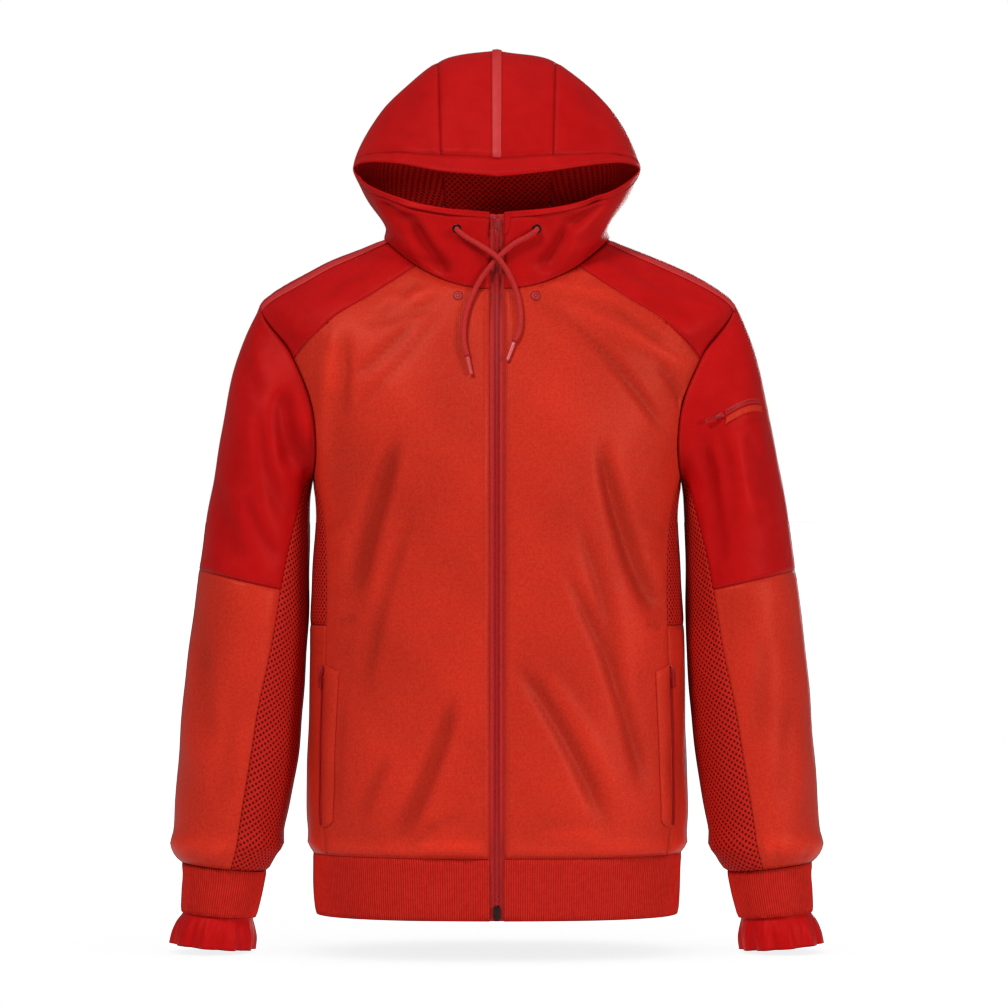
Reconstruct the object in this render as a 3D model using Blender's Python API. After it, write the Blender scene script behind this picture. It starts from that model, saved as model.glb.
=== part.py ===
"""Zip hoodie, filled out with no wearer: hollow cloth walls cut and sewn as the real garment is.

Frame: origin at the centre of the neck hole, level with the high points of the shoulders. +Z up, the zip faces -Y,
and the wearer's left arm is at +X. Tables and sizes are in millimetres, and points are scaled to metres as meshes
are made. Each form below is a function of two numbers that gives a point of the garment's outer face, and each
panel is a grid on a form between four seams, walled inwards along the form's normal.
"""

import math

import bmesh
import bpy
import numpy as np
from mathutils import Matrix, Vector

MM = 0.001

# Cloth
WALL = 1.8  # thickness of the shell cloth
SEAM_GAP = 0.3  # between two pieces at a seam
LIFT = 0.35  # of what lies on a panel, over the panel's form
TRIM_WALL = 1.0  # bonded tapes, welts and zip tapes
ZIP_HALF_GAP = 7.5  # from the centre line to a front's edge
LINING_DEPTH = 2.6  # of the hood lining's outer face under the hood's outer face
LINING_WALL = 1.2

# Levels on the torso, in millimetres up from the hem
HEM_TOP = 64.0
SIDE_SPLIT = 302.0  # seam between the mesh side and the pocket side
ARMPIT = 453.0
SHOULDER_TIP = 615.0
NECK = 670.0

# A ring of the torso for each level: heights and depths at the centre front, side and centre back
# level, z_front, z_side, z_back, half_width, front, back, side_y, square
TORSO = (
    (0, -700, -700, -700, 189, 112, 112, 0, 2.5),
    (64, -636, -636, -636, 192.5, 117, 117, 0, 2.5),
    (86, -614, -614, -614, 197, 123, 121, 0, 2.5),
    (150, -550, -550, -550, 199, 126, 119, 0, 2.5),
    (250, -450, -450, -450, 197, 124, 113, 0, 2.5),
    (350, -350, -350, -350, 194, 126, 117, 0, 2.45),
    (453, -251, -247, -249, 193, 128, 125, 0, 2.4),
    (520, -190, -172, -178, 216, 122, 129, 2, 2.3),
    (575, -138, -108, -112, 238, 112, 125, 4, 2.2),
    (615, -100, -60, -62, 248, 101, 114, 6, 2.15),
    (645, -75, -23, -22, 187, 92, 96, 12, 2.2),
    (670, -50, 6, 12, 119, 85, 75, 15, 2.3),
)

# The hood's curves, each from the neck seam (0) over nape, back and crown to the edge of the face (1)
# u, edge x y z, crown x y z, back x y z, nape x y z
HOOD = (
    (0.00, 0, -95, 28, 0, -92, 9, 0, -89, -11, 0, -86, -31),
    (0.12, 57, -89, 34, 56, -87, 15, 54, -84, -5, 52, -81, -24),
    (0.25, 101, -76, 45, 98, -73, 27, 95, -69, 10, 91, -66, -7),
    (0.38, 137, -57, 61, 131, -47, 46, 122, -41, 30, 114, -37, 14),
    (0.50, 150, -38, 77, 149, -10, 74, 137, 10, 51, 117, 17, 25),
    (0.62, 137, -57, 83, 141, 0, 108, 134, 54, 84, 115, 54, 40),
    (0.75, 103, -80, 80, 112, -4, 150, 108, 95, 112, 95, 84, 48),
    (0.87, 57, -102, 71, 61, -6, 191, 62, 129, 134, 57, 108, 52),
    (1.00, 0, -111, 65, 0, -6, 203, 0, 140, 141, 0, 118, 53),
)

# The seam between the hood and the band round its face, in the same numbers
# u, along
HOOD_BAND = ((0.00, 0.91), (0.25, 0.91), (0.38, 0.895), (0.50, 0.885), (0.62, 0.94), (0.75, 0.962), (1.00, 0.968))

# Rings of the sleeve, from the armhole to the cuff, by their outer and inner ends
# s, outer_x, outer_z, inner_x, inner_z, half_depth, centre_y
SLEEVE = (
    (0, 248, -60, 193, -247, 66, 3),
    (55, 268, -106, 194, -253, 70, 3),
    (110, 280.5, -152, 195, -264, 73, 3),
    (170, 291, -205, 195.5, -281, 74, 2),
    (235, 301, -263, 196, -313, 74, 0),
    (310, 312, -341, 197, -367, 72, -2),
    (390, 320, -404, 199, -425, 71, -4),
    (470, 327.5, -470, 202, -485, 70, -6),
    (545, 333, -540, 209, -545, 67, -8),
    (600, 336.5, -600, 221, -604, 62, -9),
    (628, 337, -630, 229, -637, 58, -9),
    (640, 334.5, -641, 237, -652, 53, -9),
    (646, 330.5, -646, 241.5, -656, 48, -9),
)
ELBOW = 310.0
SLEEVE_END = 646.0

# Where the seams of the sleeve's mesh run, in turns from the shoulder tip by way of the front
# s, front, back
MESH_SEAMS = (
    (0, 0.4525, 0.5475),
    (170, 0.400, 0.585),
    (310, 0.341, 0.615),
    (395, 0.322, 0.625),
    (470, 0.300, 0.630),
    (545, 0.290, 0.635),
    (646, 0.286, 0.635),
)

# s, outer_x, outer_z, inner_x, inner_z, half_depth, centre_y
CUFF = (
    (0, 329.5, -646.6, 242, -656.4, 46, -9),
    (12, 327.5, -659, 245, -667, 43, -9),
    (30, 328.5, -677, 249, -684, 41.5, -10),
    (51, 331, -698, 253, -704.5, 41, -10),
)
INNER_CUFF = (
    (0, 327.3, -686, 255, -692, 37.5, -10),
    (14, 328.8, -700, 256.2, -706, 37.5, -10),
    (22, 333.5, -707, 255, -714, 41, -10),
    (34, 338, -719, 254, -726, 43, -11),
    (46, 340, -731, 256, -738, 43.5, -11),
)
RUFFLES = 10
RUFFLE_HEIGHT = 2.6
RIB_HEIGHT = 0.8
HEM_COLUMNS = 208  # from the zip to the centre back; every second one is a rib
CUFF_RIBS = 48

# Main zip
COIL_HALF = 2.6
TAPE_DEPTH = 2.3  # of the tapes' outer face under the fronts' outer face
NECK_BEND_DEPTH = 2.0  # how much deeper the tapes run where the collar bends forward
STOP_HEIGHT = 16.0
SLIDER_ALONG = 0.865
PULL_POINTS = 16

# Drawstrings, eyelets and snaps, as seen from the front
EYELET_X, EYELET_Z = 41.0, 11.5
SNAP_X, SNAP_Z = 40.0, -57.0
CORD_RADIUS = 2.7
CORD_STEP = 5.0
NECK_SEEN = -46.0  # height of the neck seam where the cords cross it
# x, z, height over the cloth
CORD_RIGHT = (
    (-41, 11.5, 1.4),
    (-40.8, 11.3, 4.0),
    (-38.6, 9.5, 6.6),
    (-33, 5, 6.8),
    (-18, -4, 6.8),
    (0, -18, 9.8),
    (8.5, -29, 8.5),
    (20, -55, 5.0),
    (24, -76, 4.2),
    (22.5, -97, 3.8),
    (18, -106, 3.6),
)
TIP_RIGHT = ((17.3, -107.5, 3.4), (10.5, -126, 3.0))
CORD_LEFT = (
    (41, 11.5, 1.4),
    (40.8, 11.3, 4.0),
    (38.6, 9.5, 6.4),
    (33, 5.5, 6.0),
    (19, -2, 4.8),
    (0, -18, 3.8),
    (-15.5, -39, 3.6),
    (-27.5, -64, 3.8),
    (-33.5, -88, 3.6),
    (-33.5, -108, 3.4),
    (-30.5, -121, 3.4),
)
TIP_LEFT = ((-30, -122.5, 3.2), (-26, -140, 3.0))
TIP_RADIUS = 2.16

# Pockets
POCKET_LOW, POCKET_HIGH = 94.0, 262.0  # levels of the side pockets
SMALL_SLIDER = (5.0, 9.0)
PULL_OUT = 3.75  # of a pocket pull's pivot over the cloth

# Rows and columns of the body's grids
POCKET_ROWS, MESH_ROWS, ARM_ROWS = 6, 5, 5  # up the side: beside the pocket, the mesh and the armhole
HALF_COLUMNS = 8  # from the middle to the side seam
NECK_COLUMNS = 3
SIDE_COLUMNS = 4
HOOD_ROWS = 10
EVENING = 20  # rounds that even out the front's grid

# The largest folds, as soft troughs that leave a panel's edges as they are: those of the front are given as seen
# from the front, with their ends, how far their middle bows sideways, half their width and their depth
# x, z, x, z, bow, width, depth
FRONT_FOLDS = (
    (-105, -210, -149, -373, 4, 22, 4.0),
    (100, -213, 150, -341, 4, 22, 4.0),
    (-56, -500, -106, -600, -5, 15, 3.2),
    (72, -551, 121, -620, 5, 14, 2.6),
    (-222, -158, -207, -236, 3, 14, 3.0),
    (-247, -184, -217, -289, 5, 12, 1.6),
    (213, -205, 230, -331, -3, 12, 2.4),
    (-120, 42, -89, 21, 2, 12, 3.0),
    (-89, 21, -62, -22, 3, 11, 3.6),
    (110, 45, 72, 14, -2, 12, 3.0),
    (72, 14, 56, -18, -3, 11, 3.4),
)
BACK_FOLDS = (
    (-165, -180, -120, -300, 8, 18, 2.6),
    (170, -190, 128, -290, -7, 17, 2.4),
    (-100, -330, -40, -450, -6, 20, 2.2),
    (95, -320, 50, -470, 6, 18, 2.4),
    (-20, -480, 10, -590, 4, 20, 2.0),
    (-210, -160, -225, -260, -3, 14, 2.2),
    (212, -165, 228, -255, 3, 14, 2.2),
)

# The seam between a front and its yoke, as seen from the front, from the neck to the armhole
# x, z
YOKE_SEAM = ((84, -30), (110, -42), (149, -67), (185, -93), (214, -122))

# The seam between a front and the side, and its like at the back
# level, u_front, u_back
SIDE_SEAM = ((64, 0.350, 0.650), (180, 0.347, 0.652), (302, 0.347, 0.650), (380, 0.362, 0.640), (422, 0.398, 0.600))

ARMHOLE_SPREAD = 0.17  # of u, to each side of the side line
MESH_TIP = 0.4525  # place on the armhole where front, side and sleeve mesh meet
YOKE_TIP = 0.18  # place on the armhole where the yoke seam ends
BACK_YOKE_TIP = 0.80
BACK_YOKE_LEVEL = 575.0  # of the back yoke's seam at the middle

RED_WOVEN = ((0.52, 0.010, 0.012, 1), 0.45)
RED_KNIT = ((0.60, 0.030, 0.018, 1), 0.6)
RED_MESH = ((0.50, 0.012, 0.010, 1), 0.7)
RED_RIB = ((0.56, 0.015, 0.012, 1), 0.75)
RED_TAPE = ((0.66, 0.035, 0.030, 1), 0.7)
RED_CORD = ((0.62, 0.030, 0.025, 1), 0.7)
DARK_RED = ((0.38, 0.006, 0.008, 1), 0.6)
RED_METAL = ((0.45, 0.010, 0.012, 1), 0.3, 0.6)
DARK_METAL = ((0.05, 0.03, 0.03, 1), 0.35, 0.9)


# --- reading tables -------------------------------------------------------------------------------------------


def hermite(share, span, start, end, start_slope, end_slope):
    """The cubic between two values with these slopes."""
    return (
        (1 + 2 * share) * (1 - share) ** 2 * start
        + share**2 * (3 - 2 * share) * end
        + span * share * (1 - share) * ((1 - share) * start_slope - share * end_slope)
    )


def through(table, place):
    """A smooth curve through a table's rows, whose first column is the place, read at any places."""
    rows = np.array(table, float)
    knots, values = rows[:, 0], rows[:, 1:]
    slopes = np.gradient(values, knots, axis=0)
    place = np.asarray(place, float)
    i = np.clip(np.searchsorted(knots, place, side="right") - 1, 0, len(knots) - 2)
    span = (knots[i + 1] - knots[i])[..., None]
    share = (place - knots[i])[..., None] / span
    return hermite(share, span, values[i], values[i + 1], slopes[i], slopes[i + 1])


# --- forms ----------------------------------------------------------------------------------------------------


def torso(u, level):
    """A point of the body: u is 0 at the centre front, a half at the side and 1 at the centre back."""
    u, level = np.broadcast_arrays(np.asarray(u, float), np.asarray(level, float))
    z_front, z_side, z_back, half, front, back, side_y, square = np.moveaxis(through(TORSO, level), -1, 0)
    across, along = np.sin(np.pi * u), np.cos(np.pi * u)
    ahead = along > 0
    x = half * np.abs(across) ** (2 / square)
    y = side_y * across**2 + np.where(ahead, -front, back) * np.abs(along) ** (2 / square)
    z = z_side + (np.where(ahead, z_front, z_back) - z_side) * along**2
    return np.stack([x, y, z], axis=-1)


def hood(u, along):
    """A point of the hood: u as on the neck seam, along 0 at that seam and 1 at the edge of the face."""
    u, along = np.broadcast_arrays(np.asarray(u, float), np.asarray(along, float))
    edge, crown, back, nape = np.moveaxis(through(HOOD, u).reshape(*u.shape, 4, 3), -2, 0)
    stops = np.stack([torso(u, NECK), nape, back, crown, edge])
    slopes = np.gradient(stops, axis=0)
    place = along * 4
    i = np.clip(place.astype(int), 0, 3)
    start, end, slope, next_slope = (
        np.take_along_axis(values, (i + step)[None, ..., None], axis=0)[0]
        for values, step in ((stops, 0), (stops, 1), (slopes, 0), (slopes, 1))
    )
    return hermite((place - i)[..., None], 1, start, end, slope, next_slope)


def armhole(turn):
    """A point of the armhole seam: turn is 0 at the shoulder tip, a quarter in front and a half at the armpit."""
    turn = np.asarray(turn, float)
    middle, reach = (SHOULDER_TIP + ARMPIT) / 2, (SHOULDER_TIP - ARMPIT) / 2
    u = 0.5 - ARMHOLE_SPREAD * np.sin(2 * np.pi * turn)
    return np.stack([u, middle + reach * np.cos(2 * np.pi * turn)], axis=-1)


def ring(table, turn, s):
    """A point of an oval ring from a table of rings."""
    turn, s = np.broadcast_arrays(np.asarray(turn, float), np.asarray(s, float))
    outer_x, outer_z, inner_x, inner_z, depth, centre_y = np.moveaxis(through(table, s), -1, 0)
    out, ahead = np.cos(2 * np.pi * turn), np.sin(2 * np.pi * turn)
    x = (outer_x + inner_x) / 2 + out * (outer_x - inner_x) / 2
    z = (outer_z + inner_z) / 2 + out * (outer_z - inner_z) / 2
    return np.stack([x, centre_y - depth * ahead, z], axis=-1)


def sleeve(turn, s):
    """A point of the sleeve: it leaves the armhole seam and settles into the rings of the table."""
    turn, s = np.broadcast_arrays(np.asarray(turn, float), np.asarray(s, float))
    start = torso(*np.moveaxis(armhole(turn), -1, 0)) - ring(SLEEVE, turn, 0 * s)
    fade = np.clip(1 - s / 130, 0, 1) ** 2
    apart = np.array([SEAM_GAP + 0.1, 0, 0])
    return ring(SLEEVE, turn, s) + start * fade[..., None] + apart


def cuff(turn, s):
    return ring(CUFF, turn, s)


def inner_cuff_ring(turn, s):
    return ring(INNER_CUFF, turn, s)


def inner_cuff(turn, s):
    """The gathered cuff under the rib, with waves that grow towards its free edge."""
    turn = np.asarray(turn, float)
    wave = np.sin(2 * np.pi * (RUFFLES * turn + 0.06 * np.sin(4 * np.pi * turn + 1)))
    growth = np.clip((np.asarray(s, float) - 14) / 32, 0, 1)
    flat = inner_cuff_ring(turn, s)
    middle = flat / 2 + inner_cuff_ring(turn + 0.5, s) / 2
    outwards = (flat - middle) / np.linalg.norm(flat - middle, axis=-1, keepdims=True)
    return flat + outwards * (RUFFLE_HEIGHT * wave * growth)[..., None]


def normals(form, first, second):
    """Outward directions of a form at these places."""
    step = 1e-3 if form is hood else 0.5
    du = form(first + 1e-3, second) - form(first - 1e-3, second)
    dv = form(first, second + step) - form(first, second - step)
    across = np.cross(du, dv)
    return across / np.linalg.norm(across, axis=-1, keepdims=True)


# --- places of seams ------------------------------------------------------------------------------------------


def line(start, end, segments):
    """Evenly spaced places from one to another."""
    return np.linspace(np.asarray(start, float), np.asarray(end, float), segments + 1)


def chain(*runs):
    """Runs of places joined end to end, with each shared place kept once."""
    return np.concatenate([runs[0]] + [run[1:] for run in runs[1:]])


def u_at_x(form, x, second):
    """The u at which a form lies this far from the middle plane, near the front."""
    low, high = np.zeros_like(np.asarray(second, float)), np.full_like(np.asarray(second, float), 0.3)
    for _ in range(40):
        middle = (low + high) / 2
        near = form(middle, second)[..., 0] < x
        low, high = np.where(near, middle, low), np.where(near, high, middle)
    return (low + high) / 2


def place_seen(form, x, z, guess, steps=(1e-4, 0.1), most=(0.03, 15)):
    """The place on a form that is seen at this x and z from the front, found by Newton's method."""
    place = np.array(guess, float)
    for _ in range(40):
        here = form(*place)[[0, 2]]
        beside = np.array([form(place[0] + steps[0], place[1]), form(place[0], place[1] + steps[1])])
        slope = ((beside[:, [0, 2]] - here) / np.array(steps)[:, None]).T
        move = np.linalg.solve(slope, [x, z] - here)
        place = place + np.clip(move, [-most[0], -most[1]], most)
    return place


def torso_place(x, z):
    return place_seen(torso, x, z, (0.15 if x < 60 else 0.25, 600.0))


def collar_place(x, z):
    return place_seen(hood, x, z, (0.1, 0.5), (1e-4, 1e-4), (0.02, 0.1))


def sleeve_place(x, z):
    return place_seen(sleeve, x, z, (0.15, 140.0))


MIDDLE = 1e-6  # u of the centre front, just off the plane of symmetry
LEAST_U = 4e-3  # nearest to the centre front at which a direction is read
MOST_U = 1 - 2e-3  # and to the centre back
NECK_FRONT = float(u_at_x(torso, ZIP_HALF_GAP, NECK))
YOKE_NECK = 0.235  # u where the yoke seam leaves the neck seam
HOOD_CENTRE = 0.868  # u where the seam of the hood's centre leaves the neck seam

# Shares of the way up a yoke at which its rows lie, so that the shoulder tape has a row of its own
YOKE_ROWS = np.array([0, 0.36, 0.62, 0.75, 1.0])


def neck_run(start, end):
    return line((start, NECK), (end, NECK), NECK_COLUMNS)


def armhole_run(start, end, segments):
    return armhole(np.linspace(start, end, segments + 1))


def side_run(bottom, top, segments, column):
    """Places up the seam between a front (column 1) or the back (column 2) and the side."""
    levels = np.linspace(bottom, top, segments + 1)
    tip = armhole(MESH_TIP if column == 1 else 1 - MESH_TIP)
    table = [(row[0], row[column]) for row in SIDE_SEAM] + [(tip[1], tip[0])]
    return np.stack([through(table, levels)[:, 0], levels], axis=-1)


def yoke_run(segments):
    """Places along the yoke seam, from the neck to the armhole."""
    inner = [torso_place(x, z) for x, z in YOKE_SEAM[1:-1]]
    places = np.array([(YOKE_NECK, NECK), *inner, armhole(YOKE_TIP)])
    table = np.column_stack([np.linspace(0, 1, len(places)), places])
    return through(table, np.linspace(0, 1, segments + 1))


def shares(edge):
    """How far along an edge of places each one is, with u weighed as the body's half girth."""
    steps = np.linalg.norm(np.diff(edge, axis=0) * np.array([540.0, 1.0]), axis=1)
    return np.concatenate([[0], np.cumsum(steps)]) / steps.sum()


def patch(bottom, top, left, right):
    """A grid of places [column, row] filled in between four edges."""
    s = ((shares(bottom) + shares(top)) / 2)[:, None, None]
    t = ((shares(left) + shares(right)) / 2)[None, :, None]
    sides = (1 - t) * bottom[:, None] + t * top[:, None] + (1 - s) * left[None] + s * right[None]
    corners = (1 - s) * ((1 - t) * bottom[0] + t * top[0]) + s * ((1 - t) * bottom[-1] + t * top[-1])
    return sides - corners


def evened(grid):
    """A grid of places with its inner ones evened out, so that no cell folds over where an edge is hollow."""
    grid = grid.copy()
    for _ in range(EVENING):
        around = grid[2:, 1:-1] + grid[:-2, 1:-1] + grid[1:-1, 2:] + grid[1:-1, :-2]
        grid[1:-1, 1:-1] = around / 4
    return grid


# --- making solids --------------------------------------------------------------------------------------------


def material(name, colour, roughness, metallic=0.0):
    made = bpy.data.materials.new(name)
    made.use_nodes = True
    shader = made.node_tree.nodes["Principled BSDF"]
    shader.inputs["Base Color"].default_value = colour
    shader.inputs["Roughness"].default_value = roughness
    shader.inputs["Metallic"].default_value = metallic
    made.diffuse_color = colour
    return made


def finish_object(name, bm, look):
    """Turns a bmesh into a named object with its own material."""
    bmesh.ops.recalc_face_normals(bm, faces=bm.faces)
    if bm.calc_volume(signed=True) < 0:
        bmesh.ops.reverse_faces(bm, faces=bm.faces)
    mesh = bpy.data.meshes.new(name)
    bm.to_mesh(mesh)
    bm.free()
    mesh.shade_smooth()
    mesh.set_sharp_from_angle(angle=math.radians(40))
    made = bpy.data.objects.new(name, mesh)
    made.data.materials.append(material(name, *look))
    bpy.context.collection.objects.link(made)
    return made


def wall(name, outer, inner, look, closed=False):
    """A solid between two grids of points [column, row], closed round its rim, or a tube where closed is set."""
    columns, rows = outer.shape[:2]
    bm = bmesh.new()
    layers = [[[bm.verts.new(point * MM) for point in column] for column in grid] for grid in (outer, inner)]
    pairs = [(i, (i + 1) % columns) for i in range(columns if closed else columns - 1)]
    for layer in layers:
        for i, k in pairs:
            for j in range(rows - 1):
                bm.faces.new((layer[i][j], layer[k][j], layer[k][j + 1]))
                bm.faces.new((layer[i][j], layer[k][j + 1], layer[i][j + 1]))
    face, back = layers
    for i, k in pairs:
        for j in (0, rows - 1):
            bm.faces.new((face[i][j], face[k][j], back[k][j], back[i][j]))
    if not closed:
        for i in (0, columns - 1):
            for j in range(rows - 1):
                bm.faces.new((face[i][j], face[i][j + 1], back[i][j + 1], back[i][j]))
    return finish_object(name, bm, look)


def drawn_back(grid, amount):
    """How far each point of a panel's grid moves so that its four edges leave half a seam gap."""
    shift = np.zeros_like(grid)
    for axis, end, inside in ((0, 0, 1), (0, -1, -2), (1, 0, 1), (1, -1, -2)):
        edge, beside = np.take(grid, end, axis=axis), np.take(grid, inside, axis=axis)
        run = np.gradient(edge, axis=0)
        run /= np.linalg.norm(run, axis=-1, keepdims=True)
        inwards = beside - edge
        inwards -= (inwards * run).sum(axis=-1, keepdims=True) * run
        inwards *= amount / np.linalg.norm(inwards, axis=-1, keepdims=True)
        if axis == 0:
            shift[end] += inwards
        else:
            shift[:, end] += inwards
    return shift


def mirrored(grid, side):
    return grid * np.array([side, 1, 1])


def fold_depth(points, facing, folds):
    """How far a set of folds draws cloth in at these points, where it faces their side of the garment."""
    total = np.zeros(points.shape[:-1])
    for x0, z0, x1, z1, bow, width, depth in folds:
        run = np.array([x1 - x0, z1 - z0], float)
        length = np.linalg.norm(run)
        offset = points[..., [0, 2]] - np.array([x0, z0], float)
        along = (offset @ run) / length**2
        across = (offset[..., 0] * run[1] - offset[..., 1] * run[0]) / length - bow * 4 * along * (1 - along)
        ends = np.clip(np.minimum(along + 0.12, 1.12 - along) / 0.34, 0, 1)
        total += depth * ends**2 * np.exp(-((across / width) ** 2))
    return total * np.clip(facing * 2, 0, 1)


def folded(face, out):
    """A panel's outer face with its folds, which fade to nothing at its edges."""
    drawn_in = fold_depth(face, -out[..., 1], FRONT_FOLDS) + fold_depth(face, out[..., 1], BACK_FOLDS)
    drawn_in[[0, -1]] = 0
    drawn_in[:, [0, -1]] = 0
    return face - out * drawn_in[..., None]


def panel(name, form, places, look, side=1, depth=0.0, thickness=WALL, rim=None):
    """A panel of cloth on a form, at a grid of places, this deep under the form's outer face."""
    first, second = places[..., 0], places[..., 1]
    out = normals(form, first, second)
    if rim is not None:
        out = rim(out, first)
    face = form(first, second)
    face, out = mirrored(face + drawn_back(face, SEAM_GAP / 2), side), mirrored(out, side)
    if depth == 0:
        face = folded(face, out)
    return wall(name, face - out * depth, face - out * (depth + thickness), look)


def whole_panel(name, form, places, look, depth=0.0, thickness=WALL):
    """A panel that crosses the middle plane: its half, first column on that plane, and the half's mirror image."""
    first, second = places[..., 0], places[..., 1]
    out = normals(form, np.minimum(first, MOST_U), second)
    out[0, :, 0] = 0
    out /= np.linalg.norm(out, axis=-1, keepdims=True)
    face = form(first, second)
    face[0, :, 0] = 0
    face = np.concatenate([mirrored(face[:0:-1], -1), face])
    out = np.concatenate([mirrored(out[:0:-1], -1), out])
    face = face + drawn_back(face, SEAM_GAP / 2)
    if depth == 0:
        face = folded(face, out)
    return wall(name, face - out * depth, face - out * (depth + thickness), look)


# --- cloth pieces ---------------------------------------------------------------------------------------------


def make_body():
    """Fronts, yokes, back and sides."""
    levels = np.concatenate([np.linspace(HEM_TOP, 560, 14)[:-1], np.linspace(560, NECK, 4)])
    centre_front = np.stack([u_at_x(torso, ZIP_HALF_GAP, levels), levels], axis=-1)
    mesh_seams = [
        chain(
            side_run(HEM_TOP, SIDE_SPLIT, POCKET_ROWS, column),
            side_run(SIDE_SPLIT, armhole(tip)[1], MESH_ROWS, column),
            armhole_run(tip, yoke_tip, ARM_ROWS),
        )
        for column, tip, yoke_tip in ((1, MESH_TIP, YOKE_TIP), (2, 1 - MESH_TIP, BACK_YOKE_TIP))
    ]
    side_front, side_back = mesh_seams
    yoke = yoke_run(HALF_COLUMNS - NECK_COLUMNS)
    hem_front = line((centre_front[0, 0], HEM_TOP), side_front[0], HALF_COLUMNS)
    front = evened(patch(hem_front, chain(neck_run(NECK_FRONT, YOKE_NECK), yoke), centre_front, side_front))
    neck_rows = np.stack([YOKE_NECK + (0.5 - YOKE_NECK) * YOKE_ROWS, np.full(len(YOKE_ROWS), NECK)], axis=-1)
    shoulder = line((0.5, NECK), (0.5, SHOULDER_TIP), HALF_COLUMNS - NECK_COLUMNS)
    front_yoke = patch(yoke, shoulder, neck_rows, armhole(YOKE_TIP * (1 - YOKE_ROWS)))

    middle_high = line((1.0, BACK_YOKE_LEVEL), (1.0, NECK), 3)
    middle_low = line((1.0, HEM_TOP), (1.0, BACK_YOKE_LEVEL), len(side_back) - 1)
    half_seam = line((1.0, BACK_YOKE_LEVEL), armhole(BACK_YOKE_TIP), HALF_COLUMNS)
    half_top = chain(neck_run(1.0, 0.5), shoulder)
    back_yoke = patch(half_seam, half_top, middle_high, armhole_run(BACK_YOKE_TIP, 1.0, 3))
    back = patch(line((1.0, HEM_TOP), side_back[0], HALF_COLUMNS), half_seam, middle_low, side_back)

    split, top = POCKET_ROWS, POCKET_ROWS + MESH_ROWS
    side_split = line(side_front[split], side_back[split], SIDE_COLUMNS)
    side_mesh = patch(
        side_split,
        armhole_run(MESH_TIP, 1 - MESH_TIP, SIDE_COLUMNS),
        side_front[split : top + 1],
        side_back[split : top + 1],
    )
    side_low = patch(
        line(side_front[0], side_back[0], SIDE_COLUMNS),
        side_split,
        side_front[: split + 1],
        side_back[: split + 1],
    )
    for side, hand in ((1, "left"), (-1, "right")):
        panel(f"front_{hand}", torso, front, RED_KNIT, side)
        panel(f"front_yoke_{hand}", torso, front_yoke, RED_WOVEN, side)
        panel(f"side_mesh_{hand}", torso, side_mesh, RED_MESH, side)
        panel(f"side_low_{hand}", torso, side_low, RED_KNIT, side)
    whole_panel("back", torso, back, RED_KNIT)
    whole_panel("back_yoke", torso, back_yoke, RED_WOVEN)
    return front_yoke


def armhole_rim(out, turn):
    """Turns the first row of the sleeve's wall with the body's wall where the two bend over the shoulder."""
    place = armhole(turn[:, 0])
    body = normals(torso, place[..., 0], place[..., 1])
    agree = np.clip((out[:, 0] * body).sum(axis=-1) / 0.6, 0, 1)[..., None]
    blend = out[:, 0] + (body - out[:, 0]) * agree
    out[:, 0] = blend / np.linalg.norm(blend, axis=-1, keepdims=True)
    return out


def make_sleeves():
    """Each sleeve's woven upper piece, knit lower piece and mesh under the arm."""

    def seam(start, end, segments, column):
        s = np.linspace(start, end, segments + 1)
        return np.stack([through(MESH_SEAMS, s)[:, column], s], axis=-1)

    def across(s, start, end, segments):
        return line((start, s), (end, s), segments)

    front_top, back_top = seam(0, ELBOW, 7, 0), seam(0, ELBOW, 7, 1)
    front_low, back_low = seam(ELBOW, SLEEVE_END, 9, 0), seam(ELBOW, SLEEVE_END, 9, 1)
    turns = np.concatenate(
        [
            np.linspace(1 - MESH_TIP, BACK_YOKE_TIP, 6) - 1,
            np.linspace(BACK_YOKE_TIP, 1, 4)[1:] - 1,
            YOKE_TIP * (1 - YOKE_ROWS[::-1])[1:],
            np.linspace(YOKE_TIP, MESH_TIP, 6)[1:],
        ]
    )
    one_turn = np.array([1.0, 0.0])
    columns = len(turns) - 1
    at_armhole = np.stack([turns, 0 * turns], axis=-1)
    at_elbow = across(ELBOW, back_top[-1, 0] - 1, front_top[-1, 0], columns)
    at_end = across(SLEEVE_END, back_low[-1, 0] - 1, front_low[-1, 0], columns)
    upper = patch(at_armhole, at_elbow, back_top - one_turn, front_top)
    lower = patch(at_elbow, at_end, back_low - one_turn, front_low)
    mesh = patch(
        across(0, MESH_TIP, 1 - MESH_TIP, SIDE_COLUMNS),
        across(SLEEVE_END, front_low[-1, 0], back_low[-1, 0], SIDE_COLUMNS),
        chain(front_top, front_low),
        chain(back_top, back_low),
    )
    for side, hand in ((1, "left"), (-1, "right")):
        panel(f"sleeve_upper_{hand}", sleeve, upper, RED_WOVEN, side, rim=armhole_rim)
        panel(f"sleeve_lower_{hand}", sleeve, lower, RED_KNIT, side)
        panel(f"sleeve_mesh_{hand}", sleeve, mesh, RED_MESH, side)


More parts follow.
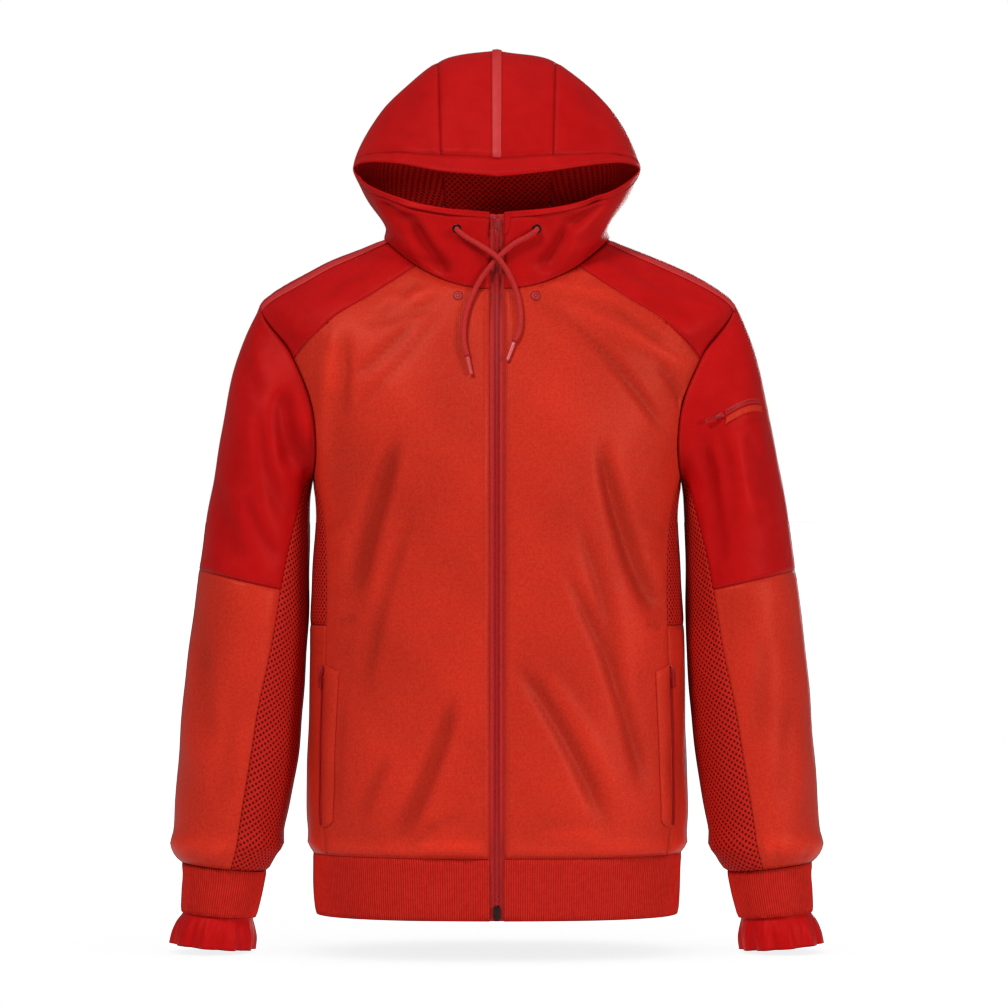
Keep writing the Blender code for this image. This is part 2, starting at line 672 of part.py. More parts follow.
def make_hood():
    """The hood's sides, centre, band and lining."""

    def band_seam(u):
        u = np.asarray(u, float)
        return np.stack([u, through(HOOD_BAND, u)[..., 0]], axis=-1)

    us = np.concatenate(
        [
            np.linspace(NECK_FRONT, YOKE_NECK, 4),
            YOKE_NECK + (0.5 - YOKE_NECK) * YOKE_ROWS[1:],
            np.linspace(0.5, HOOD_CENTRE, 5)[1:],
        ]
    )
    neck = np.stack([us, 0 * us], axis=-1)
    rows = np.linspace(0, 1, HOOD_ROWS)
    front_along = rows * HOOD_BAND[0][1]
    front = np.stack([u_at_x(hood, ZIP_HALF_GAP, front_along), front_along], axis=-1)
    centre = np.stack([np.full(HOOD_ROWS, HOOD_CENTRE), rows * band_seam(HOOD_CENTRE)[1]], axis=-1)
    face_us = us.copy()
    face_us[0] = front[-1, 0]
    side_places = patch(neck, band_seam(face_us), front, centre)
    centre_us = np.array([1.0, 0.9895, HOOD_CENTRE + 0.06, HOOD_CENTRE])
    centre_places = patch(
        np.stack([centre_us, 0 * centre_us], axis=-1),
        band_seam(centre_us),
        np.stack([np.full(HOOD_ROWS, 1.0), rows * band_seam(1.0)[1]], axis=-1),
        centre,
    )
    for side, hand in ((1, "left"), (-1, "right")):
        panel(f"hood_side_{hand}", hood, side_places, RED_WOVEN, side)
    whole_panel("hood_centre", hood, centre_places, RED_WOVEN)

    band_us = np.concatenate([centre_us[:-1], face_us[::-1]])
    band = np.stack([band_seam(band_us), np.stack([band_us, np.ones_like(band_us)], axis=-1)], axis=1)
    whole_panel("hood_band", hood, band, RED_WOVEN)

    for side, hand in ((1, "left"), (-1, "right")):
        panel(f"hood_lining_{hand}", hood, side_places[6:, 1:], RED_MESH, side, LINING_DEPTH, LINING_WALL)
    whole_panel("hood_lining_centre", hood, centre_places[:, 1:], RED_MESH, LINING_DEPTH, LINING_WALL)
    return centre_places


def ribbed(name, face, out, pitch_steps, look, closed=False):
    """A wall whose outer points rise on every second column as ribs, over a plain inside with fewer columns."""
    raised = face.copy()
    raised[1::2] += out[1::2] * RIB_HEIGHT
    inner = (face - out * WALL)[::pitch_steps]
    bm = bmesh.new()
    front, back = ([[bm.verts.new(p * MM) for p in column] for column in grid] for grid in (raised, inner))
    rows = face.shape[1]
    for layer in (front, back):
        count = len(layer)
        for i in range(count if closed else count - 1):
            here, beside = layer[i], layer[(i + 1) % count]
            for j in range(rows - 1):
                bm.faces.new((here[j], beside[j], beside[j + 1], here[j + 1]))
    for i in range(len(back) if closed else len(back) - 1):
        over = [(i * pitch_steps + step) % len(front) for step in range(pitch_steps + 1)]
        for j in (0, rows - 1):
            bm.faces.new([front[k][j] for k in over] + [back[(i + 1) % len(back)][j], back[i][j]])
    if not closed:
        for i in (0, -1):
            for j in range(rows - 1):
                bm.faces.new((front[i][j], front[i][j + 1], back[i][j + 1], back[i][j]))
    return finish_object(name, bm, look)


def make_hem():
    """The ribbed band round the hem, open at the zip, with its ribs evenly spaced along it."""
    fine = np.linspace(u_at_x(torso, ZIP_HALF_GAP, 0), 1, 2001)
    length = np.concatenate([[0], np.cumsum(np.linalg.norm(np.diff(torso(fine, 0), axis=0), axis=1))])
    u = np.interp(np.linspace(0, length[-1], HEM_COLUMNS + 1), length, fine)
    levels = np.array([0, HEM_TOP - SEAM_GAP])
    places = np.stack(np.meshgrid(u, levels, indexing="ij"), axis=-1)
    places[0, :, 0] = u_at_x(torso, ZIP_HALF_GAP, levels)
    out = normals(torso, np.minimum(places[..., 0], MOST_U), places[..., 1])
    out[..., 2] = 0
    out[-1, :, 0] = 0
    out /= np.linalg.norm(out, axis=-1, keepdims=True)
    face = torso(places[..., 0], places[..., 1])
    whole = np.concatenate([face, mirrored(face[-2::-1], -1)])
    whole_out = np.concatenate([out, mirrored(out[-2::-1], -1)])
    ribbed("hem_band", whole, whole_out, 16, RED_RIB)


def make_cuffs():
    """The ribbed cuffs and the gathered cuffs that come out under them."""
    rib_turns = np.arange(2 * CUFF_RIBS) / (2 * CUFF_RIBS)
    ruffle_turns = np.arange(RUFFLES * 4) / (RUFFLES * 4)
    for side, hand in ((1, "left"), (-1, "right")):
        turn, s = np.meshgrid(rib_turns, (0, 12, CUFF[-1][0]), indexing="ij")
        out, face = normals(cuff, turn, s), cuff(turn, s)
        axis = (face[:, -1:] - face[:, :1]).mean(axis=0, keepdims=True)
        axis /= np.linalg.norm(axis)
        out -= (out * axis).sum(axis=-1, keepdims=True) * axis
        out /= np.linalg.norm(out, axis=-1, keepdims=True)
        ribbed(f"cuff_{hand}", mirrored(face, side), mirrored(out, side), 4, RED_RIB, closed=True)
        turn, s = np.meshgrid(ruffle_turns, (0, 14, 26, 46), indexing="ij")
        face = inner_cuff(turn, s)
        inside = face - normals(inner_cuff_ring, turn, s)
        wall(f"inner_cuff_{hand}", mirrored(face, side), mirrored(inside, side), RED_WOVEN, closed=True)


# --- trims ----------------------------------------------------------------------------------------------------


def overlay(name, form, places, look, side=1, lift=LIFT, thickness=TRIM_WALL):
    """A strip that lies on a form, this far over its outer face."""
    return panel(name, form, places, look, side, depth=-(lift + thickness), thickness=thickness)


def centre_strip(low_x, high_x, levels, alongs):
    """Points and normals of two lines beside the centre front, up the body and then the collar."""
    points, outs = [], []
    for x in (low_x, high_x):
        body_u = u_at_x(torso, x, levels) if x > 0 else 0 * levels + MIDDLE
        collar_u = u_at_x(hood, x, alongs) if x > 0 else 0 * alongs + MIDDLE
        points.append(np.concatenate([torso(body_u, levels), hood(collar_u, alongs)]))
        body_out = normals(torso, np.maximum(body_u, LEAST_U), levels)
        collar_out = normals(hood, np.maximum(collar_u, LEAST_U), alongs)
        outs.append(np.concatenate([body_out, collar_out]))
    outs = np.array(outs)
    outs[..., 0] = 0
    outs /= np.linalg.norm(outs, axis=-1, keepdims=True)
    return np.array(points), outs


def make_main_zip():
    """Tapes under the front edges, the coil between them, its bottom stop, slider, pull and garage."""
    body_levels = np.concatenate([np.linspace(HEM_TOP, 560, 14)[:-1], np.linspace(560, NECK, 4)[:-1]])
    levels = np.array([0, *body_levels, NECK - 6])
    alongs = np.linspace(0.08, 0.97, 7)
    points, outs = centre_strip(COIL_HALF + 0.5, 14.0, levels, alongs)
    from_neck = np.abs(np.concatenate([levels - NECK, alongs * 80]))
    deeper = (NECK_BEND_DEPTH * np.clip(1 - from_neck / 45, 0, 1))[None, :, None]
    for side, hand in ((1, "left"), (-1, "right")):
        face = points - outs * (TAPE_DEPTH + deeper)
        wall(f"zip_tape_{hand}", mirrored(face, side), mirrored(face - outs * 0.9, side), DARK_RED)
    coil_levels = np.concatenate([[STOP_HEIGHT + 0.5], levels[1:]])
    coil_alongs = np.linspace(0.08, 0.78, 6)
    points, outs = centre_strip(0.0, COIL_HALF, coil_levels, coil_alongs)
    half = np.concatenate([mirrored(points[1:], -1), points[1:]])
    half_out = np.concatenate([mirrored(outs[1:], -1), outs[1:]])
    wall("zip_coil", half - half_out * 0.2, half - half_out * 1.9, DARK_RED)
    stop = box_frame(torso(MIDDLE, STOP_HEIGHT / 2), (0, -1, 0.0), (0, 0, 1))
    plate("zip_stop", stop, (7.4, STOP_HEIGHT - 0.6), 2.6, DARK_METAL, rise=-1.5)
    out = normals(hood, np.array(LEAST_U), np.array(SLIDER_ALONG))
    frame = box_frame(hood(MIDDLE, SLIDER_ALONG), (0, *out[1:]), (0, 0, 1))
    plate("zip_slider", frame, (8.0, 11.0), 4.4, RED_METAL, rise=-1.7)
    pull_frame = box_frame(frame[0] + frame[1] * 3.6 + np.array([0, 0, 3.5]), (0, -1, 0), (0, 0, 1))
    pull("zip_pull", pull_frame, 17.0, 4.6, RED_METAL)
    x_places = (ZIP_HALF_GAP + 0.6, ZIP_HALF_GAP + 6.5)
    rows = np.linspace(0.70, 0.995, 4)
    garage = np.stack([np.stack([u_at_x(hood, x, rows), rows], axis=-1) for x in x_places])
    overlay("zip_garage", hood, garage, RED_WOVEN)


def box_frame(centre, out, up):
    """A place with three square directions: outwards, up along the cloth, and across."""
    out = np.array(out, float) / np.linalg.norm(out)
    up = np.array(up, float) - np.dot(up, out) * out
    up /= np.linalg.norm(up)
    return np.array(centre, float), out, up, np.cross(up, out)


def plate(name, frame, size, thickness, look, rise=LIFT, side=1):
    """A flat block with bevelled corners that lies across a frame's outward direction."""
    centre, out, up, across = frame
    bm = bmesh.new()
    bmesh.ops.create_cube(bm, size=1)
    bmesh.ops.bevel(bm, geom=bm.edges[:], offset=0.16, segments=1, affect="EDGES")
    for vert in bm.verts:
        a, b, c = vert.co
        point = centre + across * a * size[0] + up * b * size[1] + out * (rise + (c + 0.5) * thickness)
        vert.co = point * np.array([side, 1, 1]) * MM
    return finish_object(name, bm, look)


def pull(name, frame, length, width, look, side=1, thickness=1.3):
    """A pull tab that hangs from its pivot, where its origin is: a tapered loop with an open eye."""
    centre, out, up = (vector * np.array([side, 1, 1]) for vector in frame[:3])
    across = np.cross(up, out)
    angles = 2 * np.pi * np.arange(PULL_POINTS) / PULL_POINTS
    down = length * (0.5 - 0.5 * np.cos(angles))
    half = width / 2 * (0.42 + 0.58 * (down / length) ** 1.5)
    outline = np.stack([half * np.sin(angles) / np.maximum(np.abs(np.sin(angles)), 0.45), down], axis=-1)
    middle = np.array([0.0, length * 0.55])
    hole = middle + (outline - middle) * np.array([0.42, 0.72])
    bm = bmesh.new()
    loops = ((outline, 0), (outline, thickness), (hole, thickness), (hole, 0))
    rings = [[bm.verts.new((a * MM, -height * MM, -b * MM)) for a, b in points] for points, height in loops]
    for i in range(4):
        for k in range(PULL_POINTS):
            m = (k + 1) % PULL_POINTS
            bm.faces.new((rings[i][k], rings[i][m], rings[(i + 1) % 4][m], rings[(i + 1) % 4][k]))
    made = finish_object(name, bm, look)
    made.matrix_world = Matrix.LocRotScale(Vector(centre * MM), Matrix(np.array([across, -out, up]).T), None)
    return made


def tube(name, points, radius, look, sides_level=1, cyclic=False):
    """A round cord or ring: a curve with a bevel."""
    curve = bpy.data.curves.new(name, "CURVE")
    curve.dimensions = "3D"
    curve.bevel_depth = radius * MM
    curve.bevel_resolution = sides_level
    curve.use_fill_caps = not cyclic
    spline = curve.splines.new("POLY")
    spline.points.add(len(points) - 1)
    for point, place in zip(spline.points, points):
        point.co = (*(np.asarray(place) * MM), 1)
    spline.use_cyclic_u = cyclic
    made = bpy.data.objects.new(name, curve)
    curve.materials.append(material(name, *look))
    bpy.context.collection.objects.link(made)
    return made


def ring_on(name, form, place, radius, wire, look, side):
    """A wire ring that lies flat on a form."""
    first, second = (np.array(value) for value in place)
    out = normals(form, first, second)
    centre, out, up, across = box_frame(form(first, second), out, (0, 0, 1))
    centre = centre + out * (LIFT + wire)
    angles = np.arange(12) * np.pi / 6
    points = [centre + across * radius * np.cos(a) + up * radius * np.sin(a) for a in angles]
    return tube(name, mirrored(np.array(points), side), wire, look, cyclic=True)


def over_cloth(x, z, height):
    """The point this far over the front face, from where x and z are seen on the collar or the body."""
    at = max(abs(x), 0.5)
    form, place = (hood, collar_place(at, z)) if z > NECK_SEEN else (torso, torso_place(at, z))
    out = normals(form, np.maximum(place[0], LEAST_U), place[1])
    return mirrored(form(*place) + out * height, -1 if x < 0 else 1)


def cord_route(table):
    """A smooth run of points through a table of x, z and height over the cloth."""
    points = np.array([over_cloth(*row) for row in table])
    length = np.concatenate([[0], np.cumsum(np.linalg.norm(np.diff(points, axis=0), axis=1))])
    places = np.linspace(0, length[-1], int(length[-1] / CORD_STEP))
    return through(np.column_stack([length, points]), places)


def make_drawstrings():
    """The cords, the eyelets they leave and the snaps beside them."""
    for side, hand in ((1, "left"), (-1, "right")):
        ring_on(f"eyelet_{hand}", hood, collar_place(EYELET_X, EYELET_Z), 4.2, 0.9, DARK_METAL, side)
        ring_on(f"snap_{hand}", torso, torso_place(SNAP_X, SNAP_Z), 4.2, 0.7, RED_METAL, side)
    for hand, table, tip in (("right", CORD_RIGHT, TIP_RIGHT), ("left", CORD_LEFT, TIP_LEFT)):
        route = cord_route(table)
        tube(f"drawstring_{hand}", route, CORD_RADIUS, RED_CORD, 2)
        ends = [over_cloth(*row) for row in tip]
        start = route[-1] + (ends[0] - route[-1]) / np.linalg.norm(ends[0] - route[-1]) * SEAM_GAP
        tube(f"drawstring_tip_{hand}", [start, *ends], TIP_RADIUS, RED_CORD, 2)


def side_strip(low, high, near, far, rows):
    """Places beside the front's side seam, from one distance in u to another."""
    seam = side_run(low, high, rows, 1)
    return np.stack([seam - np.array([near, 0]), seam - np.array([far, 0])])


def make_side_pockets():
    """The zip pockets in the side seams, each with its welt, slider and pull."""
    for side, hand in ((1, "left"), (-1, "right")):
        welt = side_strip(POCKET_LOW, POCKET_HIGH, 0.055, 0.003, 8)
        welt = np.stack([welt[0], welt.mean(axis=0), welt[1]])
        overlay(f"pocket_welt_{hand}", torso, welt, RED_KNIT, side, lift=0.6)
        slit = side_strip(POCKET_LOW + 2, POCKET_HIGH - 12, -0.003, -0.012, 8)
        overlay(f"pocket_zip_{hand}", torso, slit, DARK_RED, side)
        place = side_run(POCKET_HIGH - 6, POCKET_HIGH, 1, 1)[0] + np.array([0.0085, 0])
        out = normals(torso, place[0], place[1])
        frame = box_frame(torso(*place), out, (0, 0, 1))
        plate(f"pocket_slider_{hand}", frame, SMALL_SLIDER, 3.0, RED_METAL, side=side)
        hang = box_frame(frame[0] + out * PULL_OUT + np.array([0, 0, 2.5]), out * [1, 1, 0], (0, 0, 1))
        pull(f"pocket_pull_{hand}", hang, 21.0, 6.0, RED_METAL, side)


def make_sleeve_pocket():
    """The zip pocket on the wearer's left upper arm."""

    def strip(corners, columns):
        low, high = (line(sleeve_place(*corners[k]), sleeve_place(*corners[k + 1]), columns) for k in (0, 2))
        return np.stack([low, high], axis=1)

    slit = ((237, -180.5), (274, -168), (236, -175), (273, -162.5))
    welt = ((236, -190), (275, -176.5), (237.5, -182), (275, -170))
    overlay("sleeve_zip", sleeve, strip(slit, 6), DARK_RED)
    overlay("sleeve_welt", sleeve, strip(welt, 6), RED_KNIT)
    place = sleeve_place(230, -181)
    out = normals(sleeve, place[0], place[1])
    ahead = sleeve(*sleeve_place(274, -165)) - sleeve(*place)
    frame = box_frame(sleeve(*place), out, ahead)
    plate("sleeve_slider", frame, SMALL_SLIDER, 3.0, RED_METAL)
    hang = box_frame(frame[0] + out * PULL_OUT - frame[2], out, ahead)
    pull("sleeve_pull", hang, 15.0, 5.0, RED_METAL)


def make_tapes(front_yoke, hood_centre):
    """Bonded tapes over the hood's middle and along the shoulders, each on its panel's own rows."""
    middle = hood_centre[:2, 1:]
    whole_panel("hood_tape", hood, middle, RED_TAPE, depth=-(LIFT + TRIM_WALL), thickness=TRIM_WALL)
    for side, hand in ((1, "left"), (-1, "right")):
        overlay(f"shoulder_tape_{hand}", torso, front_yoke[:, 2:4], RED_TAPE, side)


def make_trims(front_yoke, hood_centre):
    make_main_zip()
    make_drawstrings()
    make_side_pockets()
    make_sleeve_pocket()
    make_tapes(front_yoke, hood_centre)


def main():
    for old in list(bpy.data.objects):
        bpy.data.objects.remove(old)
    front_yoke = make_body()
    make_sleeves()
    hood_centre = make_hood()
    make_hem()
    make_cuffs()
    make_trims(front_yoke, hood_centre)


main()
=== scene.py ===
# %% [markdown]
# # A zip hoodie, filled out with no wearer
# The garment is a set of cloth pieces, cut flat and sewn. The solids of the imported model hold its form, and this
# script dresses them: each cloth piece becomes a thin, finely divided shell on the same form, with its creases,
# seams and knitted or woven finish. Sizes are in millimetres and are scaled to metres as meshes are made.

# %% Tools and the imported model
import math

import bmesh
import bpy
import numpy as np
from mathutils import Matrix, Vector


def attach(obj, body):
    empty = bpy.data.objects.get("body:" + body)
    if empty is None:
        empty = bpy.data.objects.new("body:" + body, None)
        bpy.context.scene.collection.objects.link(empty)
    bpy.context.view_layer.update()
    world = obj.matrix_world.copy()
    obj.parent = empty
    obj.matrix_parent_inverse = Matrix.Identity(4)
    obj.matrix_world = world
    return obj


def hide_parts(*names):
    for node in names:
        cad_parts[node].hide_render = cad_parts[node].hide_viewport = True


MM = 0.001
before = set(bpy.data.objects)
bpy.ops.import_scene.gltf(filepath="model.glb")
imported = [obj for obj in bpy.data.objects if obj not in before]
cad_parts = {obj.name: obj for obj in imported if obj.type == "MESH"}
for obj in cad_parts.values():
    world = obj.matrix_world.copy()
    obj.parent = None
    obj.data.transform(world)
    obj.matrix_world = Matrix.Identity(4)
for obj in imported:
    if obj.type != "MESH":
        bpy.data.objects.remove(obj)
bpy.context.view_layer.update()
print(len(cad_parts), "solids loaded")

# %% [markdown]
# ## Camera and light
# The photograph is a catalogue view: level, straight from the front, from a few metres away, on white. A long lens
# keeps the sleeves from splaying. A soft key light from the upper left and a weaker fill from the right model the
# folds, with weak ones above and behind. The floor only takes a shadow.

# %% Camera
PHOTO_SCALE = 1.05  # millimetres a pixel at the middle plane
PHOTO_SIZE = 1008
DISTANCE, SENSOR = 4800.0, 36.0
CAMERA_X, CAMERA_Z = 7.35, -272.0  # the middle of the photograph


def placed(name, data):
    """An object made of this data, in the scene."""
    made = bpy.data.objects.new(name, data)
    bpy.context.scene.collection.objects.link(made)
    return made


camera_data = bpy.data.cameras.new("photo_camera")
camera_data.sensor_width = SENSOR
camera_data.lens = SENSOR * DISTANCE / (PHOTO_SCALE * PHOTO_SIZE)
camera = placed("photo_camera", camera_data)
camera.location = Vector((CAMERA_X, -DISTANCE, CAMERA_Z)) * MM
camera.rotation_euler = (math.radians(90), 0, 0)
bpy.context.scene.camera = camera
bpy.context.scene.view_settings.view_transform = "Standard"


# %% Colours, nodes and meshes
def linear(hex_colour):
    """The linear colour of an sRGB hex value."""
    parts = [int(hex_colour[i : i + 2], 16) / 255 for i in (1, 3, 5)]
    return (*[p / 12.92 if p <= 0.04045 else ((p + 0.055) / 1.055) ** 2.4 for p in parts], 1.0)


def set_inputs(tree, made, inputs):
    """Sets inputs of a node. Each is a plain value, a hex colour, or another node's output to link."""
    for key, value in inputs.items():
        if isinstance(value, bpy.types.NodeSocket):
            tree.links.new(value, made.inputs[key])
        else:
            made.inputs[key].default_value = linear(value) if isinstance(value, str) else value


def node(tree, kind, inputs, **settings):
    """Adds a node with these inputs and settings."""
    made = tree.nodes.new(kind)
    for key, value in settings.items():
        setattr(made, key, value)
    set_inputs(tree, made, inputs)
    return made


def ranged(tree, value, low, high, start=0.0, end=1.0):
    """A value taken from the range low to high into the range start to end."""
    inputs = {"Value": value, "From Min": low, "From Max": high, "To Min": start, "To Max": end}
    return node(tree, "ShaderNodeMapRange", inputs).outputs[0]


def new_finish(name, inputs):
    """A material with only its shader and output, and the two to work with."""
    made = bpy.data.materials.new(name)
    made.use_nodes = True
    tree, shader = made.node_tree, made.node_tree.nodes["Principled BSDF"]
    set_inputs(tree, shader, inputs)
    return made, tree, shader


def as_mesh(name, bm):
    """A bmesh written out as a mesh."""
    mesh = bpy.data.meshes.new(name)
    bm.to_mesh(mesh)
    bm.free()
    return mesh


# %% Floor, sky and lights
world = bpy.data.worlds.new("studio")
bpy.context.scene.world = world
world.use_nodes = True
SKY = 0.14  # light that comes from all round; the camera sees plain white
camera_ray = node(world.node_tree, "ShaderNodeLightPath", {}).outputs["Is Camera Ray"]
sky_strength = ranged(world.node_tree, camera_ray, 0.0, 1.0, SKY, 1.0)
background = world.node_tree.nodes["Background"]
set_inputs(world.node_tree, background, {"Color": (1, 1, 1, 1), "Strength": sky_strength})

FLOOR_LEVEL = -741.0
FLOOR_HALF, FLOOR_MIDDLE = 60, 50  # in metres: it starts behind the camera and runs on out of sight
bm = bmesh.new()
bmesh.ops.create_grid(bm, x_segments=2, y_segments=2, size=FLOOR_HALF)
bmesh.ops.translate(bm, verts=bm.verts, vec=(0, FLOOR_MIDDLE, FLOOR_LEVEL * MM))
floor = placed("floor", as_mesh("floor", bm))
floor.data.materials.append(new_finish("floor_paper", {"Base Color": (0.9, 0.9, 0.9, 1), "Roughness": 0.9})[0])
floor.is_shadow_catcher = True  # white paper lit evenly: only the garment's shadow shows on it


def soft_light(name, place, aim, size, power):
    """A square softbox that faces a point."""
    data = bpy.data.lights.new(name, "AREA")
    data.shape = "SQUARE"
    data.size = size
    data.energy = power
    made = placed(name, data)
    made.location = place
    made.rotation_euler = (Vector(aim) - Vector(place)).to_track_quat("-Z", "Y").to_euler()
    return made


key = soft_light("key", (-1.9, -3.2, 3.0), (0, 0, -0.4), 1.1, 116)
fill = soft_light("fill", (2.8, -2.6, 0.5), (0, 0, -0.45), 0.9, 50)
top = soft_light("top", (0.2, -0.5, 2.4), (0, 0, -0.2), 1.6, 4)
behind = soft_light("behind", (0.6, 3.4, 0.1), (0, 0, -0.35), 1.5, 42)
paper = soft_light("paper", (0, -0.5, 2.4), (0, 0, -0.7), 1.6, 60)
paper.data.use_shadow = False  # it lights only the floor, so that the shadow on it stays pale
off_floor, on_floor = bpy.data.collections.new("all_but_floor"), bpy.data.collections.new("floor_alone")
for linked, state in ((off_floor, "EXCLUDE"), (on_floor, "INCLUDE")):
    linked.objects.link(floor)
    linked.collection_objects[0].light_linking.link_state = state
paper.light_linking.receiver_collection = on_floor
for light in (key, fill, top, behind):
    light.light_linking.receiver_collection = off_floor

# %% [markdown]
# ## The form of the garment
# These are the numbers the solids are made from: a ring of the body for each level, curves over the hood, and
# rings of the sleeve. A smooth curve runs through each table, so that a shell can be as fine as it needs to be.

# %% Tables of the form
WALL = 1.8  # thickness of the shell cloth
SEAM_GAP = 0.3
ZIP_HALF_GAP = 7.5
HEM_TOP, SIDE_SPLIT, ARMPIT, SHOULDER_TIP, NECK = 64.0, 302.0, 453.0, 615.0, 670.0
# level, z_front, z_side, z_back, half_width, front, back, side_y, square
TORSO = (
    (0, -700, -700, -700, 189, 112, 112, 0, 2.5),
    (64, -636, -636, -636, 192.5, 117, 117, 0, 2.5),
    (86, -614, -614, -614, 197, 123, 121, 0, 2.5),
    (150, -550, -550, -550, 199, 126, 119, 0, 2.5),
    (250, -450, -450, -450, 197, 124, 113, 0, 2.5),
    (350, -350, -350, -350, 194, 126, 117, 0, 2.45),
    (453, -251, -247, -249, 193, 128, 125, 0, 2.4),
    (520, -190, -172, -178, 216, 122, 129, 2, 2.3),
    (575, -138, -108, -112, 238, 112, 125, 4, 2.2),
    (615, -100, -60, -62, 248, 101, 114, 6, 2.15),
    (645, -75, -23, -22, 187, 92, 96, 12, 2.2),
    (670, -50, 6, 12, 119, 85, 75, 15, 2.3),
)
# u, edge x y z, crown x y z, back x y z, nape x y z
HOOD = (
    (0.00, 0, -95, 28, 0, -92, 9, 0, -89, -11, 0, -86, -31),
    (0.12, 57, -89, 34, 56, -87, 15, 54, -84, -5, 52, -81, -24),
    (0.25, 101, -76, 45, 98, -73, 27, 95, -69, 10, 91, -66, -7),
    (0.38, 137, -57, 61, 131, -47, 46, 122, -41, 30, 114, -37, 14),
    (0.50, 150, -38, 77, 149, -10, 74, 137, 10, 51, 117, 17, 25),
    (0.62, 137, -57, 83, 141, 0, 108, 134, 54, 84, 115, 54, 40),
    (0.75, 103, -80, 80, 112, -4, 150, 108, 95, 112, 95, 84, 48),
    (0.87, 57, -102, 71, 61, -6, 191, 62, 129, 134, 57, 108, 52),
    (1.00, 0, -111, 65, 0, -6, 203, 0, 140, 141, 0, 118, 53),
)
# u, along
HOOD_BAND = ((0.00, 0.91), (0.25, 0.91), (0.38, 0.895), (0.50, 0.885), (0.62, 0.94), (0.75, 0.962), (1.00, 0.968))
# s, outer_x, outer_z, inner_x, inner_z, half_depth, centre_y
SLEEVE = (
    (0, 248, -60, 193, -247, 66, 3),
    (55, 268, -106, 194, -253, 70, 3),
    (110, 280.5, -152, 195, -264, 73, 3),
    (170, 291, -205, 195.5, -281, 74, 2),
    (235, 301, -263, 196, -313, 74, 0),
    (310, 312, -341, 197, -367, 72, -2),
    (390, 320, -404, 199, -425, 71, -4),
    (470, 327.5, -470, 202, -485, 70, -6),
    (545, 333, -540, 209, -545, 67, -8),
    (600, 336.5, -600, 221, -604, 62, -9),
    (628, 337, -630, 229, -637, 58, -9),
    (640, 334.5, -641, 237, -652, 53, -9),
    (646, 330.5, -646, 241.5, -656, 48, -9),
)
ELBOW, SLEEVE_END = 310.0, 646.0
# s, front, back
MESH_SEAMS = (
    (0, 0.4525, 0.5475),
    (170, 0.400, 0.585),
    (310, 0.341, 0.615),
    (395, 0.322, 0.625),
    (470, 0.300, 0.630),
    (545, 0.290, 0.635),
    (646, 0.286, 0.635),
)
# s, outer_x, outer_z, inner_x, inner_z, half_depth, centre_y
CUFF = (
    (0, 329.5, -646.6, 242, -656.4, 46, -9),
    (12, 327.5, -659, 245, -667, 43, -9),
    (30, 328.5, -677, 249, -684, 41.5, -10),
    (51, 331, -698, 253, -704.5, 41, -10),
)
INNER_CUFF = (
    (0, 327.3, -686, 255, -692, 37.5, -10),
    (14, 328.8, -700, 256.2, -706, 37.5, -10),
    (22, 333.5, -707, 255, -714, 41, -10),
    (34, 338, -719, 254, -726, 43, -11),
    (46, 340, -731, 256, -738, 43.5, -11),
)
RUFFLES, RUFFLE_HEIGHT = 10, 2.6
NEAR, NEAR_MM = 1e-3, 0.5  # the steps of a slope, as a share and in millimetres
CLEAR_OF_MIDDLE = 4e-3  # the least u at which a slope is taken beside the middle plane
YOKE_SEAM = ((84, -30), (110, -42), (149, -67), (185, -93), (214, -122))  # x, z
# level, u_front, u_back
SIDE_SEAM = ((64, 0.350, 0.650), (180, 0.347, 0.652), (302, 0.347, 0.650), (380, 0.362, 0.640), (422, 0.398, 0.600))
ARMHOLE_SPREAD, MESH_TIP, YOKE_TIP, BACK_YOKE_TIP = 0.17, 0.4525, 0.18, 0.80


# %% Smooth curves through the tables
def hermite(share, span, start, end, start_slope, end_slope):
    """The cubic between two values with these slopes."""
    return (
        (1 + 2 * share) * (1 - share) ** 2 * start
        + share**2 * (3 - 2 * share) * end
        + span * share * (1 - share) * ((1 - share) * start_slope - share * end_slope)
    )


def through(table, place):
    """A smooth curve through a table's rows, whose first column is the place."""
    rows = np.array(table, float)
    knots, values = rows[:, 0], rows[:, 1:]
    slopes = np.gradient(values, knots, axis=0)
    place = np.asarray(place, float)
    i = np.clip(np.searchsorted(knots, place, side="right") - 1, 0, len(knots) - 2)
    span = (knots[i + 1] - knots[i])[..., None]
    share = (place - knots[i])[..., None] / span
    return hermite(share, span, values[i], values[i + 1], slopes[i], slopes[i + 1])


# %% Body, hood and sleeve as functions of two numbers
def torso(u, level):
    """A point of the body: u is 0 at the centre front, a half at the side and 1 at the centre back."""
    u, level = np.broadcast_arrays(np.asarray(u, float), np.asarray(level, float))
    z_front, z_side, z_back, half, front, back, side_y, square = np.moveaxis(through(TORSO, level), -1, 0)
    across, along = np.sin(np.pi * u), np.cos(np.pi * u)
    ahead = along > 0
    x = half * np.abs(across) ** (2 / square)
    y = side_y * across**2 + np.where(ahead, -front, back) * np.abs(along) ** (2 / square)
    z = z_side + (np.where(ahead, z_front, z_back) - z_side) * along**2
    return np.stack([x, y, z], axis=-1)


